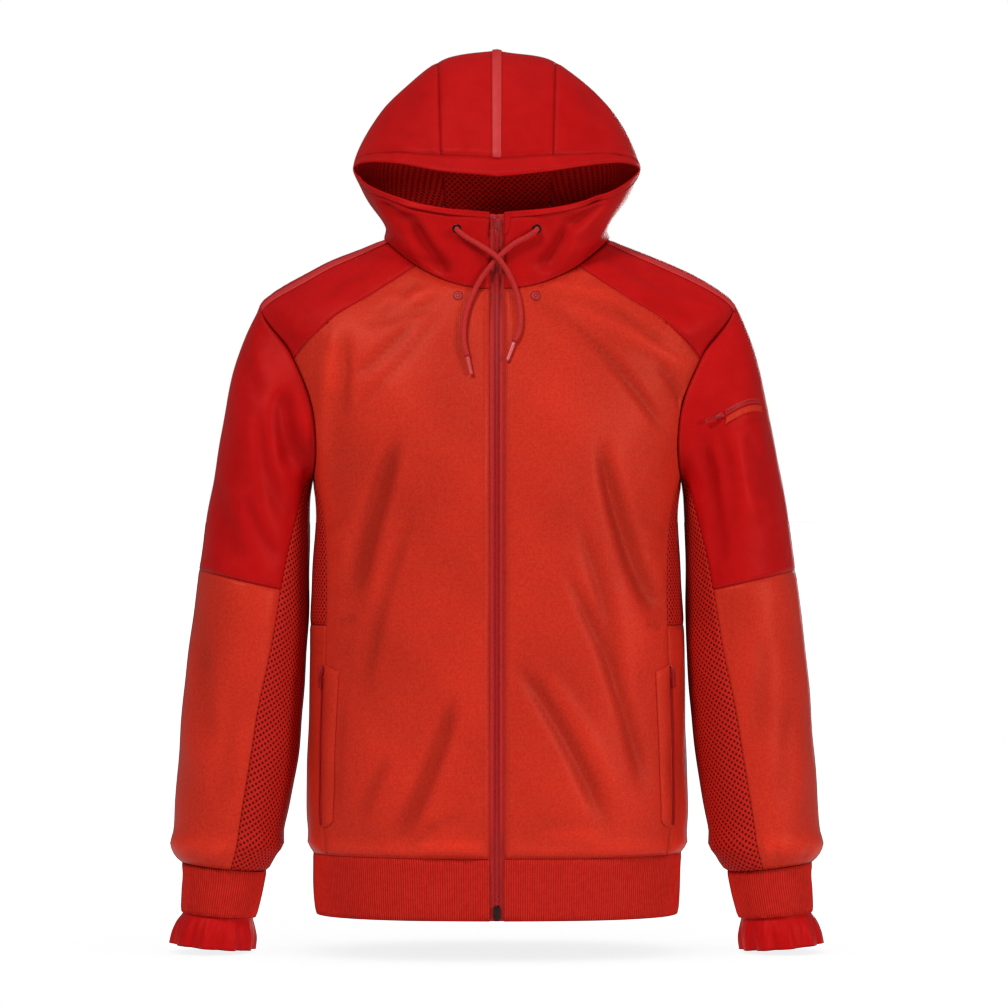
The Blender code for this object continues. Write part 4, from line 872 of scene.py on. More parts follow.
def rib_finish(name, low, high, groove_shade):
    """Rib knit: the ribs are modelled, and the finish adds painted shade in their grooves and the stitches along them.
    """
    parts = new_finish(name, {"Roughness": 0.75, "Specular IOR Level": 0.12})
    tree = parts[1]
    along = node(tree, "ShaderNodeSeparateXYZ", {"Vector": on_cut(tree, RIB_PITCH)}).outputs[0]
    ridge = arithmetic(tree, "MULTIPLY", arithmetic(tree, "PINGPONG", along, 0.5), 2.0)
    yarn = blend(tree, mottled(tree, 5), low, high)
    # Painted shade in the grooves between the modelled ribs.
    dye_and_painted_shade = blend(tree, ranged(tree, ridge, 0.5, 0.0, 0.0, 0.8), yarn, groove_shade)
    return finished(parts, dye_and_painted_shade, (lattice(tree, on_cut(tree, 1.2)), 0.15))


def plain_finish(name, low, high, roughness, grain, depth, metallic=0.0, coat=0.0):
    """A fine-grained finish for tapes, plastic and painted metal: two close shades and a low grain."""
    parts = new_finish(name, {"Roughness": roughness, "Metallic": metallic, "Coat Weight": coat})
    tree = parts[1]
    return finished(parts, blend(tree, mottled(tree, grain * 6), low, high), (mottled(tree, grain, 2.0), depth))


def braid_finish(name, low, high, groove_shade):
    """A round braided cord: strands that cross on the slant, with painted shade between them."""
    parts = new_finish(name, {"Roughness": 0.7, "Sheen Weight": 0.08, "Specular IOR Level": 0.15})
    tree = parts[1]
    strands = lattice(tree, on_cut(tree, 1.5, DIAGONAL))
    yarn = blend(tree, mottled(tree, 3.0), low, high)
    # Painted shade between the strands.
    dye_and_painted_shade = blend(tree, arithmetic(tree, "MULTIPLY", strands, 0.6), yarn, groove_shade)
    return finished(parts, dye_and_painted_shade, (inverse(tree, strands), 0.3))


# The last colour of knit, mesh, lining, rib and cord is painted shade: in the gaps between stitches, in the holes, in
# the grooves.
WOVEN = woven_finish("woven_polyester", "#C41012", "#CE1416")
KNIT = knit_finish("brushed_tricot", "#CE2A1C", "#E23C28", "#A41609")
AIR_MESH = mesh_finish("air_mesh", "#C81E14", "#D4281C", "#5A0606")
LINING = mesh_finish("lining_mesh", "#E41C18", "#F02820", "#820808")
RIB = rib_finish("rib_knit", "#CE2016", "#DC2C1E", "#7C0C08")
TAPE = plain_finish("bonded_tape", "#D22A2C", "#DA3234", 0.6, 1.6, 0.04)
ZIP_TAPE = plain_finish("zip_tape", "#C41010", "#CE1614", 0.7, 0.9, 0.12)
COIL = plain_finish("nylon_coil", "#AE1012", "#BA1616", 0.4, 1.0, 0.03)
CORD = braid_finish("braided_cord", "#D22A2A", "#DE3634", "#9A1616")
TIP = plain_finish("moulded_tip", "#D8484A", "#E05553", 0.3, 1.0, 0.02)
RED_METAL = plain_finish("painted_metal", "#A60E12", "#B41418", 0.35, 0.8, 0.02, coat=0.4)
DARK_METAL = plain_finish("dark_nickel", "#3A2626", "#4A3030", 0.35, 0.8, 0.02, metallic=0.9)
SNAP_RED = plain_finish("snap_lacquer", "#C4181A", "#CC2022", 0.6, 0.8, 0.02)
SNAP_RIM = plain_finish("snap_rim", "#6E0C0E", "#841214", 0.5, 0.8, 0.02)
THREAD = plain_finish("sewing_thread", "#BE2624", "#CC302C", 0.6, 0.4, 0.03)

# %% [markdown]
# ## Body
# Two fronts, four yoke halves that show as two in front and one across the back, one back, and a side on each
# hand that is mesh above and knit below.

# %% Places of the body's pieces
CHEST, BACK_SEAM = 560, 575  # levels of the highest row of the body's long run, and of the back yoke's seam
long_run, short_run = np.linspace(HEM_TOP, CHEST, 13 * GRAIN + 1), np.linspace(CHEST, NECK, 3 * GRAIN + 1)
centre_levels = np.concatenate([long_run[:-1], short_run])
centre_front = np.stack([u_at_x(torso, ZIP_HALF_GAP, centre_levels), centre_levels], axis=-1)
side_front = chain(
    side_run(HEM_TOP, SIDE_SPLIT, 6, 1),
    side_run(SIDE_SPLIT, armhole(MESH_TIP)[1], 5, 1),
    armhole_run(MESH_TIP, YOKE_TIP, 5),
)
side_back = chain(
    side_run(HEM_TOP, SIDE_SPLIT, 6, 2),
    side_run(SIDE_SPLIT, armhole(1 - MESH_TIP)[1], 5, 2),
    armhole_run(1 - MESH_TIP, BACK_YOKE_TIP, 5),
)
yoke = yoke_run(5)
front_top = chain(line((NECK_FRONT, NECK), (YOKE_NECK, NECK), 3), yoke)
front = evened(patch(line((centre_front[0, 0], HEM_TOP), side_front[0], 8), front_top, centre_front, side_front))
neck_rows = row_at(YOKE_NECK + (0.5 - YOKE_NECK) * YOKE_ROWS, NECK)
shoulder = line((0.5, NECK), (0.5, SHOULDER_TIP), 5)
front_yoke = patch(yoke, shoulder, neck_rows, armhole(YOKE_TIP * (1 - YOKE_ROWS)))

half_seam = line((1.0, BACK_SEAM), armhole(BACK_YOKE_TIP), 8)
half_top = chain(line((1.0, NECK), (0.5, NECK), 3), shoulder)
back_yoke = patch(half_seam, half_top, line(half_seam[0], (1.0, NECK), 3), armhole_run(BACK_YOKE_TIP, 1.0, 3))
back = patch(line((1.0, HEM_TOP), side_back[0], 8), half_seam, line((1.0, HEM_TOP), half_seam[0], 16), side_back)
SPLIT = 6 * GRAIN
SIDE_TOP = 11 * GRAIN
side_split = line(side_front[SPLIT], side_back[SPLIT], 4)
above_split = slice(SPLIT, SIDE_TOP + 1)
side_mesh = patch(side_split, armhole_run(MESH_TIP, 1 - MESH_TIP, 4), side_front[above_split], side_back[above_split])
side_low = patch(line(side_front[0], side_back[0], 4), side_split, side_front[: SPLIT + 1], side_back[: SPLIT + 1])
print("front grid", front.shape, "back half grid", back.shape)

# %% Body pieces
for side, hand in HANDS:
    half_piece(f"cloth_front_{hand}", torso, front, KNIT, side, creases=FRONT_CREASES, slot="knit")
    half_piece(f"cloth_front_yoke_{hand}", torso, front_yoke, WOVEN, side, creases=FRONT_CREASES, slot="woven")
    half_piece(f"cloth_side_mesh_{hand}", torso, side_mesh, AIR_MESH, side, creases=FRONT_CREASES, slot="mesh")
    half_piece(f"cloth_side_low_{hand}", torso, side_low, KNIT, side, creases=FRONT_CREASES, slot="knit")
whole_piece("cloth_back", torso, back, KNIT, creases=FRONT_CREASES, slot="knit")
whole_piece("cloth_back_yoke", torso, back_yoke, WOVEN, creases=FRONT_CREASES, slot="woven")


# %% [markdown]
# ## Sleeves
# Each is three pieces: woven above the elbow seam, knit below it, and one long mesh piece under the arm.

# %% Sleeve pieces
def sleeve_seam(start, end, segments, column):
    s = np.linspace(start, end, segments * GRAIN + 1)
    return np.stack([through(MESH_SEAMS, s)[:, column], s], axis=-1)


front_high, back_high = sleeve_seam(0, ELBOW, 7, 0), sleeve_seam(0, ELBOW, 7, 1)
front_low, back_low = sleeve_seam(ELBOW, SLEEVE_END, 9, 0), sleeve_seam(ELBOW, SLEEVE_END, 9, 1)
turns = finer([*np.linspace(1 - MESH_TIP, BACK_YOKE_TIP, 6) - 1, *(np.linspace(BACK_YOKE_TIP, 1, 4)[1:] - 1)])
turns = np.concatenate([turns, YOKE_TIP * (1 - YOKE_ROWS[::-1])[1:], finer(np.linspace(YOKE_TIP, MESH_TIP, 6))[1:]])
around = (len(turns) - 1) // GRAIN
one_turn = np.array([1.0, 0.0])
elbow = line((back_high[-1, 0] - 1, ELBOW), (front_high[-1, 0], ELBOW), around)
sleeve_upper = patch(row_at(turns, 0), elbow, back_high - one_turn, front_high)
sleeve_end = line((back_low[-1, 0] - 1, SLEEVE_END), (front_low[-1, 0], SLEEVE_END), around)
sleeve_lower = patch(elbow, sleeve_end, back_low - one_turn, front_low)
sleeve_mesh = patch(
    line((MESH_TIP, 0), (1 - MESH_TIP, 0), 4),
    line((front_low[-1, 0], SLEEVE_END), (back_low[-1, 0], SLEEVE_END), 4),
    chain(front_high, front_low),
    chain(back_high, back_low),
)
for side, hand in HANDS:
    half_piece(f"cloth_sleeve_upper_{hand}", sleeve, sleeve_upper, WOVEN, side, creases=SLEEVE_CREASES, slot="woven")
    half_piece(f"cloth_sleeve_lower_{hand}", sleeve, sleeve_lower, KNIT, side, creases=SLEEVE_CREASES, slot="knit")
    half_piece(f"cloth_sleeve_mesh_{hand}", sleeve, sleeve_mesh, AIR_MESH, side, creases=SLEEVE_CREASES, slot="mesh")

# %% [markdown]
# ## Hood
# Two sides and a centre strip, a band round the face, and a mesh lining of the same cut a little inside.


# %% Hood pieces
def band_seam(u):
    u = np.asarray(u, float)
    return np.stack([u, through(HOOD_BAND, u)[..., 0]], axis=-1)


def hood_seam(u):
    """Places up the hood at one u, from the neck to the band."""
    return np.stack([0 * rows + u, rows * band_seam(u)[1]], axis=-1)


hood_us = np.concatenate(
    [
        finer(np.linspace(NECK_FRONT, YOKE_NECK, 4)),
        YOKE_NECK + (0.5 - YOKE_NECK) * YOKE_ROWS[1:],
        finer(np.linspace(0.5, HOOD_CENTRE, 5))[1:],
    ]
)
rows = finer(np.linspace(0, 1, 10))
front_along = rows * HOOD_BAND[0][1]
collar_front = np.stack([u_at_x(hood, ZIP_HALF_GAP, front_along), front_along], axis=-1)
face_us = hood_us.copy()
face_us[0] = collar_front[-1, 0]
hood_side = patch(row_at(hood_us, 0), band_seam(face_us), collar_front, hood_seam(HOOD_CENTRE))
centre_us = finer([1.0, 0.9895, HOOD_CENTRE + 0.06, HOOD_CENTRE])
hood_centre = patch(row_at(centre_us, 0), band_seam(centre_us), hood_seam(1.0), hood_seam(HOOD_CENTRE))
band_us = np.concatenate([centre_us[:-1], face_us[::-1]])
across_band = np.linspace(0, 1, 6)[None, :, None]
band = (1 - across_band) * band_seam(band_us)[:, None] + across_band * row_at(band_us, 1)[:, None]
lining = dict(creases=HOOD_CREASES, depth=2.8, thickness=1.0, slot="mesh")  # it follows the folds of the shell
nape = np.clip((hood_us - 0.24) / 0.1, 0, 1)  # the share of each column that is tucked in, behind the shoulders only
for side, hand in HANDS:
    half_piece(f"cloth_hood_side_{hand}", hood, hood_side, WOVEN, side, creases=HOOD_CREASES, slot="woven", tuck=nape)
    lining_places = hood_side[6 * GRAIN :, GRAIN:]
    half_piece(f"cloth_hood_lining_{hand}", hood, lining_places, LINING, side, **lining)
whole_piece("cloth_hood_centre", hood, hood_centre, WOVEN, creases=HOOD_CREASES, slot="woven", tuck=1.0)
whole_piece("cloth_hood_lining_centre", hood, hood_centre[:, GRAIN:], LINING, **lining)
# A bounce card that lights only the lining.
card = soft_light("hood_card", (0, -1.6, -0.35), (0, 0.05, 0.06), 0.5, 9)
card.light_linking.receiver_collection = bpy.data.collections.new("linings")
for name in ("left", "centre", "right"):
    card.light_linking.receiver_collection.objects.link(bpy.data.objects["cloth_hood_lining_" + name])
whole_piece("cloth_hood_band", hood, band, WOVEN, creases=HOOD_CREASES, slot="woven", seams=False)

# %% [markdown]
# ## Ribbed hem and cuffs, and the gathered inner cuffs
# Rib knit stands in real ridges, 2.4 mm apart, so these are modelled: four columns of points to a ridge.

# %% Ribs
def ribbed(name, points, outs, closed):
    """A ribbed strip from a fine grid, whose ridges follow the distance along it."""
    across, along = arcs(points, 0), arcs(points, 1)
    length = across[-1, :].mean()
    count = round(length / RIB_PITCH)
    ridge = 0.5 - 0.5 * np.cos(2 * np.pi * count * across / across[-1:])
    height = along / along[:, -1:]
    puff = 1.6 * np.sin(np.pi * height) + 0.5 * ripple(points, 90, 2.2)
    edge = np.minimum(along, along[:, -1:] - along)
    rise = RIB_HEIGHT * (ridge - 0.3) + puff - 0.6 * np.exp(-((edge / 2) ** 2))
    flat = np.stack([across * (count * RIB_PITCH / across[-1:]), along], axis=-1)
    made = cloth_piece(name, points + outs * rise[..., None], outs, flat, RIB, closed=closed)


def grid_of(firsts, seconds):
    """Places at every pair of these numbers."""
    return np.stack(np.meshgrid(firsts, seconds, indexing="ij"), axis=-1)


def level_out(outs):
    """Directions turned level, so that a band's ribs stand straight up it."""
    outs = outs * np.array([1.0, 1.0, 0.0])
    return outs / np.linalg.norm(outs, axis=-1, keepdims=True)


HEM_ROWS = 13
fine_u = np.linspace(u_at_x(torso, ZIP_HALF_GAP, 0), 1, 4001)
hem_length = arcs(torso(fine_u, 0)[:, None], 0)[:, 0]
hem_u = np.interp(np.arange(0, hem_length[-1], RIB_PITCH / 4), hem_length, fine_u)
hem_u = np.concatenate([hem_u[:-1], [1.0]])
hem_levels = np.linspace(0, HEM_TOP - SEAM_GAP, HEM_ROWS)
hem_face, hem_outs = on(torso, grid_of(hem_u, hem_levels)[::-1])
hem_outs = level_out(hem_outs)
hem_outs[0, :, 0] = hem_face[0, :, 0] = 0
ribbed("cloth_hem_band", *both_halves(hem_face, hem_outs), False)

# %% Cuffs
CUFF_COLUMNS, CUFF_ROWS = 416, 12
INNER_COLUMNS, INNER_ROWS, INNER_WALL = 240, 15, 1.0
GATHERS, GATHER_HEIGHT = 23, 0.7
for side, hand in HANDS:
    points, outs = on(cuff, grid_of(np.linspace(0, 1, CUFF_COLUMNS + 1), np.linspace(0, CUFF[-1][0], CUFF_ROWS)))
    points[-1], outs[-1] = points[0], outs[0]
    ribbed(f"cloth_cuff_{hand}", mirrored(points, side), mirrored(outs, side), True)
    places = grid_of(np.linspace(0, 1, INNER_COLUMNS + 1), np.linspace(0, INNER_CUFF[-1][0], INNER_ROWS))
    points, outs = on(inner_cuff, places)
    growth = np.clip((places[..., 1] - 12) / 20, 0, 1)
    fine_wave = np.sin(2 * np.pi * (GATHERS * places[..., 0] + 0.3 * np.sin(2 * np.pi * places[..., 0] + side)))
    points = points + outs * (GATHER_HEIGHT * fine_wave * growth)[..., None]
    points[-1], outs[-1] = points[0], outs[0]
    points, outs, flat = mirrored(points, side), mirrored(outs, side), flat_cut(points)
    made = cloth_piece(f"cloth_inner_cuff_{hand}", points, outs, flat, WOVEN, INNER_WALL, closed=True)


# %% [markdown]
# ## Small tools for trims
# Trims are placed on the same forms: a frame is a place with an outward, an upward and a sideways direction.


# %% Frames on the cloth
UP = (0, 0, 1)
NECK_SEEN = -46  # z of the neck seam in front


def box_frame(centre, out, up):
    """A place with three square directions: outwards, up along the cloth, and across."""
    out = np.array(out, float) / np.linalg.norm(out)
    up = np.array(up, float) - np.dot(up, out) * out
    up /= np.linalg.norm(up)
    return np.array(centre, float), out, up, np.cross(up, out)


def frame_matrix(spot, side=1):
    """The matrix that carries x across, y up and z outwards in millimetres to a frame, in metres."""
    centre, out, up, across = spot
    columns = np.column_stack([across, up, out, centre]) * MM
    return Matrix.Diagonal((side, 1, 1, 1)) @ Matrix([*columns.tolist(), (0, 0, 0, 1)])


def repeated(name, shape, matrices, look, replaced=()):
    """One piece that holds a small shape at each of these matrices."""
    corners = np.array([vert.co[:] for vert in shape.verts])
    faces = [[vert.index for vert in face.verts] for face in shape.faces]
    shape.free()
    places = np.array(matrices, float)
    points = np.einsum("nij,kj->nki", places[:, :3, :3], corners) + places[:, None, :3, 3]
    starts = range(0, len(places) * len(corners), len(corners))
    mesh = bpy.data.meshes.new(name)
    mesh.from_pydata(points.reshape(-1, 3), [], [[start + k for k in face] for start in starts for face in faces])
    mesh.shade_smooth()
    mesh.set_sharp_from_angle(angle=math.radians(50))
    return piece(name, mesh, look, replaced)


def finish_mesh(name, bm, look, replaced=(), body=BODY, sharp=40):
    """A bmesh made into a finished piece, with its faces outwards."""
    bmesh.ops.recalc_face_normals(bm, faces=bm.faces)
    if bm.calc_volume(signed=True) < 0:
        bmesh.ops.reverse_faces(bm, faces=bm.faces)
    mesh = as_mesh(name, bm)
    mesh.shade_smooth()
    mesh.set_sharp_from_angle(angle=math.radians(sharp))
    return piece(name, mesh, look, replaced, body)


def over_cloth(x, z, height):
    """The point this far over the front face, where x and z are seen on the collar or the body."""
    at = max(abs(x), 0.5)
    form, place = (hood, collar_place(at, z)) if z > NECK_SEEN else (torso, torso_place(at, z))
    out = normals(form, np.maximum(place[0], CLEAR_OF_MIDDLE), place[1])
    return (form(*place) + out * height) * np.array([-1 if x < 0 else 1, 1, 1])


def even_steps(points, step):
    """A run of points taken again at even steps, with its length."""
    length = arcs(points, 0)
    places = np.linspace(0, length[-1], max(int(round(length[-1] / step)), 1) + 1)
    return np.stack([np.interp(places, length, points[:, k]) for k in range(points.shape[1])], axis=-1), length[-1]


# %% [markdown]
# ## Stitches
# A row of topstitching is made of real stitches, 3.2 mm apart: each is a small grain of thread sunk a little into
# the cloth. They run a set distance from a seam, on the surface of the piece they hold.


# %% Rows of stitches
STITCH_STEP, STITCH_LENGTH, THREAD_RADIUS, STITCH_RISE = 3.2, 2.3, 0.28, 0.12
# piece, edge, distance from it; a star stands for left and for right
STITCH_ROWS = (
    ("front_yoke_*", "first row", 3.0),
    ("back_yoke", "first row", 3.0),
    ("front_*", "first column", 5.5),
    ("front_*", "first row", 2.6),
    ("back", "first row", 2.6),
    ("hood_side_*", "first column", 5.5),
    ("hood_side_*", "first row", 2.8),
    ("hood_centre", "first row", 2.8),
    ("hood_side_*", "last column", 2.8),
    ("hood_side_*", "last row", 2.8),
    ("hood_centre", "last row", 2.8),
    ("hood_band", "last row", 4.5),
    ("sleeve_upper_*", "first row", 2.8),
    ("sleeve_upper_*", "last row", 2.6),
    ("side_low_*", "last row", 2.6),
)
stitches = []


def stitch_row(points, outs):
    """Adds a row of stitches along a run of points on the cloth."""
    run, _ = even_steps(np.concatenate([points, outs], axis=1), STITCH_STEP)
    places, ups = run[:, :3], run[:, 3:]
    for here, there, out in zip(places[:-1], places[1:], ups[:-1]):
        spot = box_frame((here + there) / 2 + out * STITCH_RISE, out, there - here)
        stitches.append(frame_matrix(spot) @ Matrix.Diagonal((THREAD_RADIUS, STITCH_LENGTH / 2, THREAD_RADIUS, 1)))


def inset_run(name, edge, inset):
    """Points and directions on a piece's surface, this far in from its first or last column or row."""
    points, outs = SURFACES[name]
    if edge in ("first row", "last row"):
        points, outs = points.swapaxes(0, 1), outs.swapaxes(0, 1)
    if edge in ("last column", "last row"):
        points, outs = points[::-1], outs[::-1]
    away = arcs(points, 0)
    k = np.clip((away < inset).sum(axis=0), 1, len(away) - 1)
    j = np.arange(points.shape[1])
    share = ((inset - away[k - 1, j]) / (away[k, j] - away[k - 1, j]))[:, None]
    return points[k - 1, j] * (1 - share) + points[k, j] * share, outs[k, j]


for name, edge, inset in STITCH_ROWS:
    for hand in ("left", "right") if "*" in name else ("",):
        stitch_row(*inset_run("cloth_" + name.replace("*", hand), edge, inset))
print("stitches so far:", len(stitches))

# %% [markdown]
# ## Main zip
# A nylon coil on two woven tapes. The coil's loops are modelled one by one, 1.3 mm apart and half a step out on
# the other side, so that they interlock.


# %% Centre front line
def centre_strip(xs, levels, alongs):
    """Points and level directions of lines beside the centre front, up the body and then the collar."""
    points, outs = [], []
    for x in xs:
        body_u = u_at_x(torso, x, levels) if x > 0 else 0 * levels + 1e-6
        collar_u = u_at_x(hood, x, alongs) if x > 0 else 0 * alongs + 1e-6
        body_out = normals(torso, np.maximum(body_u, CLEAR_OF_MIDDLE), levels)
        collar_out = normals(hood, np.maximum(collar_u, CLEAR_OF_MIDDLE), alongs)
        points.append(np.concatenate([torso(body_u, levels), hood(collar_u, alongs)]))
        outs.append(np.concatenate([body_out, collar_out]))
    outs = np.array(outs) * np.array([0, 1, 1])
    return np.array(points), outs / np.linalg.norm(outs, axis=-1, keepdims=True)


strip_levels = finer([0, *np.linspace(HEM_TOP, CHEST, 14)[:-1], *np.linspace(CHEST, NECK, 4)[:-1], NECK - 6])
strip_alongs = finer(np.linspace(0.08, 0.97, 7))
COIL_HALF, TAPE_DEPTH, TAPE_WALL = 2.6, 2.3, 0.9
NECK_BEND_DEPTH, NECK_BEND_REACH = 2.0, 45
tape_points, tape_outs = centre_strip([0.15, *np.linspace(COIL_HALF + 0.5, 14, 6)], strip_levels, strip_alongs)
from_neck = np.abs(np.concatenate([strip_levels - NECK, strip_alongs * 80]))
deeper = NECK_BEND_DEPTH * np.clip(1 - from_neck / NECK_BEND_REACH, 0, 1)
tape_points = tape_points - tape_outs * (TAPE_DEPTH + deeper)[None, :, None]
for side, hand in HANDS:
    points, outs, flat = mirrored(tape_points, side), mirrored(tape_outs, side), flat_cut(tape_points)
    made = cloth_piece(f"cloth_zip_tape_{hand}", points, outs, flat, ZIP_TAPE, TAPE_WALL)
    for column in (2, 3):
        stitch_row(points[column], outs[column])

# %% Coil
COIL_STEP, LOOP_HALF, LOOP_RADIUS = 1.3, 1.55, 0.56
COIL_DEPTH, COIL_APART = 1.15, 0.9  # how far the loops lie in from the form, and to each side of the middle
STOP_HEIGHT, SLIDER_ALONG = 16.0, 0.865
coil_levels = np.concatenate([[STOP_HEIGHT + 0.5], strip_levels[strip_levels > STOP_HEIGHT + 3]])
coil_points, coil_outs = centre_strip([0.0], coil_levels, strip_alongs[strip_alongs < 0.84])
coil_run, coil_length = even_steps(np.concatenate([coil_points[0], coil_outs[0]], axis=1), COIL_STEP / 2)
LIE_ACROSS = Matrix.Rotation(math.radians(90), 4, "Y")
loops = []
for k, row in enumerate(coil_run[:-1]):
    side = 1 if k % 2 else -1
    spot = box_frame(row[:3] - row[3:] * COIL_DEPTH, row[3:], coil_run[k + 1, :3] - row[:3])
    loops.append(frame_matrix(spot) @ Matrix.Translation((side * COIL_APART, 0, 0)) @ LIE_ACROSS)


def coil_loop(radius, half):
    """One straight loop of a coil, as a short six-sided bar."""
    bm = bmesh.new()
    bmesh.ops.create_cone(bm, cap_ends=True, segments=6, radius1=radius, radius2=radius, depth=2 * half)
    return bm


repeated("zip_teeth", coil_loop(LOOP_RADIUS, LOOP_HALF), loops, COIL, ("zip_coil",))
print("coil", round(coil_length), "mm,", len(coil_run), "loops")


# %% Sliders, pulls and stop
BODY_TAPER, BODY_BEVEL = 0.72, 0.26  # shares of a slider's width and thickness
BRIDGE_WIDTH, BRIDGE_LENGTH, BRIDGE_PLACE, BRIDGE_HEIGHT = 0.34, 0.62, 0.08, 1.1


def edges_of(made):
    return list({edge for vert in made["verts"] for edge in vert.link_edges})


def slider(name, spot, size, thickness, rise, side=1):
    """A zip slider: two plates that narrow downwards, held by a bridge over the top."""
    bm = bmesh.new()
    body_size = Matrix.Translation((0, 0, rise + thickness / 2)) @ Matrix.Diagonal((*size, thickness, 1))
    made = bmesh.ops.create_cube(bm, size=1, matrix=body_size)
    for vert in made["verts"]:
        if vert.co.y < 0:
            vert.co.x *= BODY_TAPER
    rounding = dict(profile=0.5, affect="EDGES", material=-1)
    bmesh.ops.bevel(bm, geom=bm.edges[:], offset=thickness * BODY_BEVEL, segments=3, **rounding)
    bridge = Matrix.Translation((0, size[1] * BRIDGE_PLACE, rise + thickness + 0.35))
    bridge_size = Matrix.Diagonal((size[0] * BRIDGE_WIDTH, size[1] * BRIDGE_LENGTH, BRIDGE_HEIGHT, 1))
    made = bmesh.ops.create_cube(bm, size=1, matrix=bridge @ bridge_size)
    bmesh.ops.bevel(bm, geom=edges_of(made), offset=0.4, segments=2, **rounding)
    bmesh.ops.transform(bm, matrix=frame_matrix(spot, side), verts=bm.verts)
    finish_mesh("trim_" + name, bm, RED_METAL, (name,), sharp=60)


def refined(node_name, body, look=RED_METAL, width=0.28):
    """A solid's own shape with its loose triangles merged and its edges rounded."""
    bm = bmesh_of(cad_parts[node_name].data)
    bmesh.ops.remove_doubles(bm, verts=bm.verts, dist=1e-6)
    bmesh.ops.dissolve_limit(bm, angle_limit=math.radians(2), verts=bm.verts, edges=bm.edges)
    made = finish_mesh("trim_" + node_name, bm, look, (node_name,), body)
    round_off = made.modifiers.new("edges", "BEVEL")
    round_off.width = width * MM
    round_off.segments = 2
    round_off.limit_method = "ANGLE"


slider_at = hood(1e-6, SLIDER_ALONG)
slider_out = normals(hood, np.array(CLEAR_OF_MIDDLE), np.array(SLIDER_ALONG)) * np.array([0, 1, 1])
slider("zip_slider", box_frame(slider_at, slider_out, UP), (8.0, 11.0), 3.9, -1.7)
refined("zip_pull", "main_pull")
refined("zip_stop", BODY, DARK_METAL, 0.5)

# %% [markdown]
# ## Overlays: zip garage, welts, pocket zips and bonded tapes
# What lies on a piece is a thin strip of the same form, moved out by its own thickness and a little more.

# %% Overlay strips
LIFT, TRIM_WALL, SLIT_WALL = 0.35, 1.0, 0.5


def overlay(name, form, places, look, side=1, lift=LIFT, thickness=TRIM_WALL, slot="tape", creases=FRONT_CREASES):
    """A strip over a form, which follows the creases of the cloth it lies on."""
    settings = dict(creases=creases, depth=-(lift + thickness), thickness=thickness, slot=slot, seams=False)
    return half_piece("cloth_" + name, form, places, look, side, **settings)


def refine_grid(places, columns, rows):
    """A grid of places with even finer steps both ways."""
    for axis, count in ((0, columns), (1, rows)):
        size = places.shape[axis]
        at = np.linspace(0, size - 1, count)
        low = np.minimum(at.astype(int), size - 2)
        share = np.expand_dims(at - low, tuple(k for k in range(places.ndim) if k != axis))
        places = np.take(places, low, axis=axis) * (1 - share) + np.take(places, low + 1, axis=axis) * share
    return places


GARAGE_ROWS, GARAGE_EDGE, GARAGE_FOOT, GARAGE_SWELL = 22, 8.1, 1.2, 4.9
garage_rows = np.linspace(0.70, 0.995, GARAGE_ROWS)
swell = GARAGE_FOOT + GARAGE_SWELL * np.sqrt(1 - (1 - np.linspace(0, 1, GARAGE_ROWS)) ** 2)
garage_xs = [GARAGE_EDGE + share * swell for share in np.linspace(0, 1, 7)]
garage = np.stack([np.stack([u_at_x(hood, x, garage_rows), garage_rows], axis=-1) for x in garage_xs])
overlay("zip_garage", hood, garage, WOVEN, slot="woven", creases=HOOD_CREASES)

# %% Bonded tapes
TAPE_FROM, TAPE_TO = 2 * GRAIN, 3 * GRAIN
for side, hand in HANDS:
    overlay(f"shoulder_tape_{hand}", torso, front_yoke[:, TAPE_FROM : TAPE_TO + 1], TAPE, side)
tape_settings = dict(creases=HOOD_CREASES, depth=-(LIFT + TRIM_WALL), thickness=TRIM_WALL, slot="tape", seams=False)
whole_piece("cloth_hood_tape", hood, hood_centre[: GRAIN + 1, GRAIN:], TAPE, **tape_settings)

# %% Side pockets
POCKET_LOW, POCKET_HIGH = 94.0, 262.0
WELT_COLUMNS, WELT_ROWS = 16, 90
SMALL_COIL_RISE, SMALL_LOOP_RADIUS, SMALL_LOOP_HALF = 1.1, 0.45, 1.2
SMALL_SLIDER = ((5.0, 9.0), 2.6, LIFT)  # size, thickness and rise


def side_strip(low, high, near, far, rows):
    """Places beside the front's side seam, from one distance in u to another."""
    seam = side_run(low, high, rows, 1)
    return np.stack([seam - np.array([near, 0]), seam - np.array([far, 0])])


def small_coil(name, form, places, side=1):
    """The loops of a small coil along a run of places."""
    points, outs = on(form, places)
    points, outs = mirrored(points + outs * SMALL_COIL_RISE, side), mirrored(outs, side)
    run, _ = even_steps(np.concatenate([points, outs], axis=1), COIL_STEP)
    spots = [box_frame(row[:3], row[3:], after[:3] - row[:3]) for row, after in zip(run[:-1], run[1:])]
    loop = coil_loop(SMALL_LOOP_RADIUS, SMALL_LOOP_HALF)
    repeated(name, loop, [frame_matrix(spot) @ LIE_ACROSS for spot in spots], COIL)


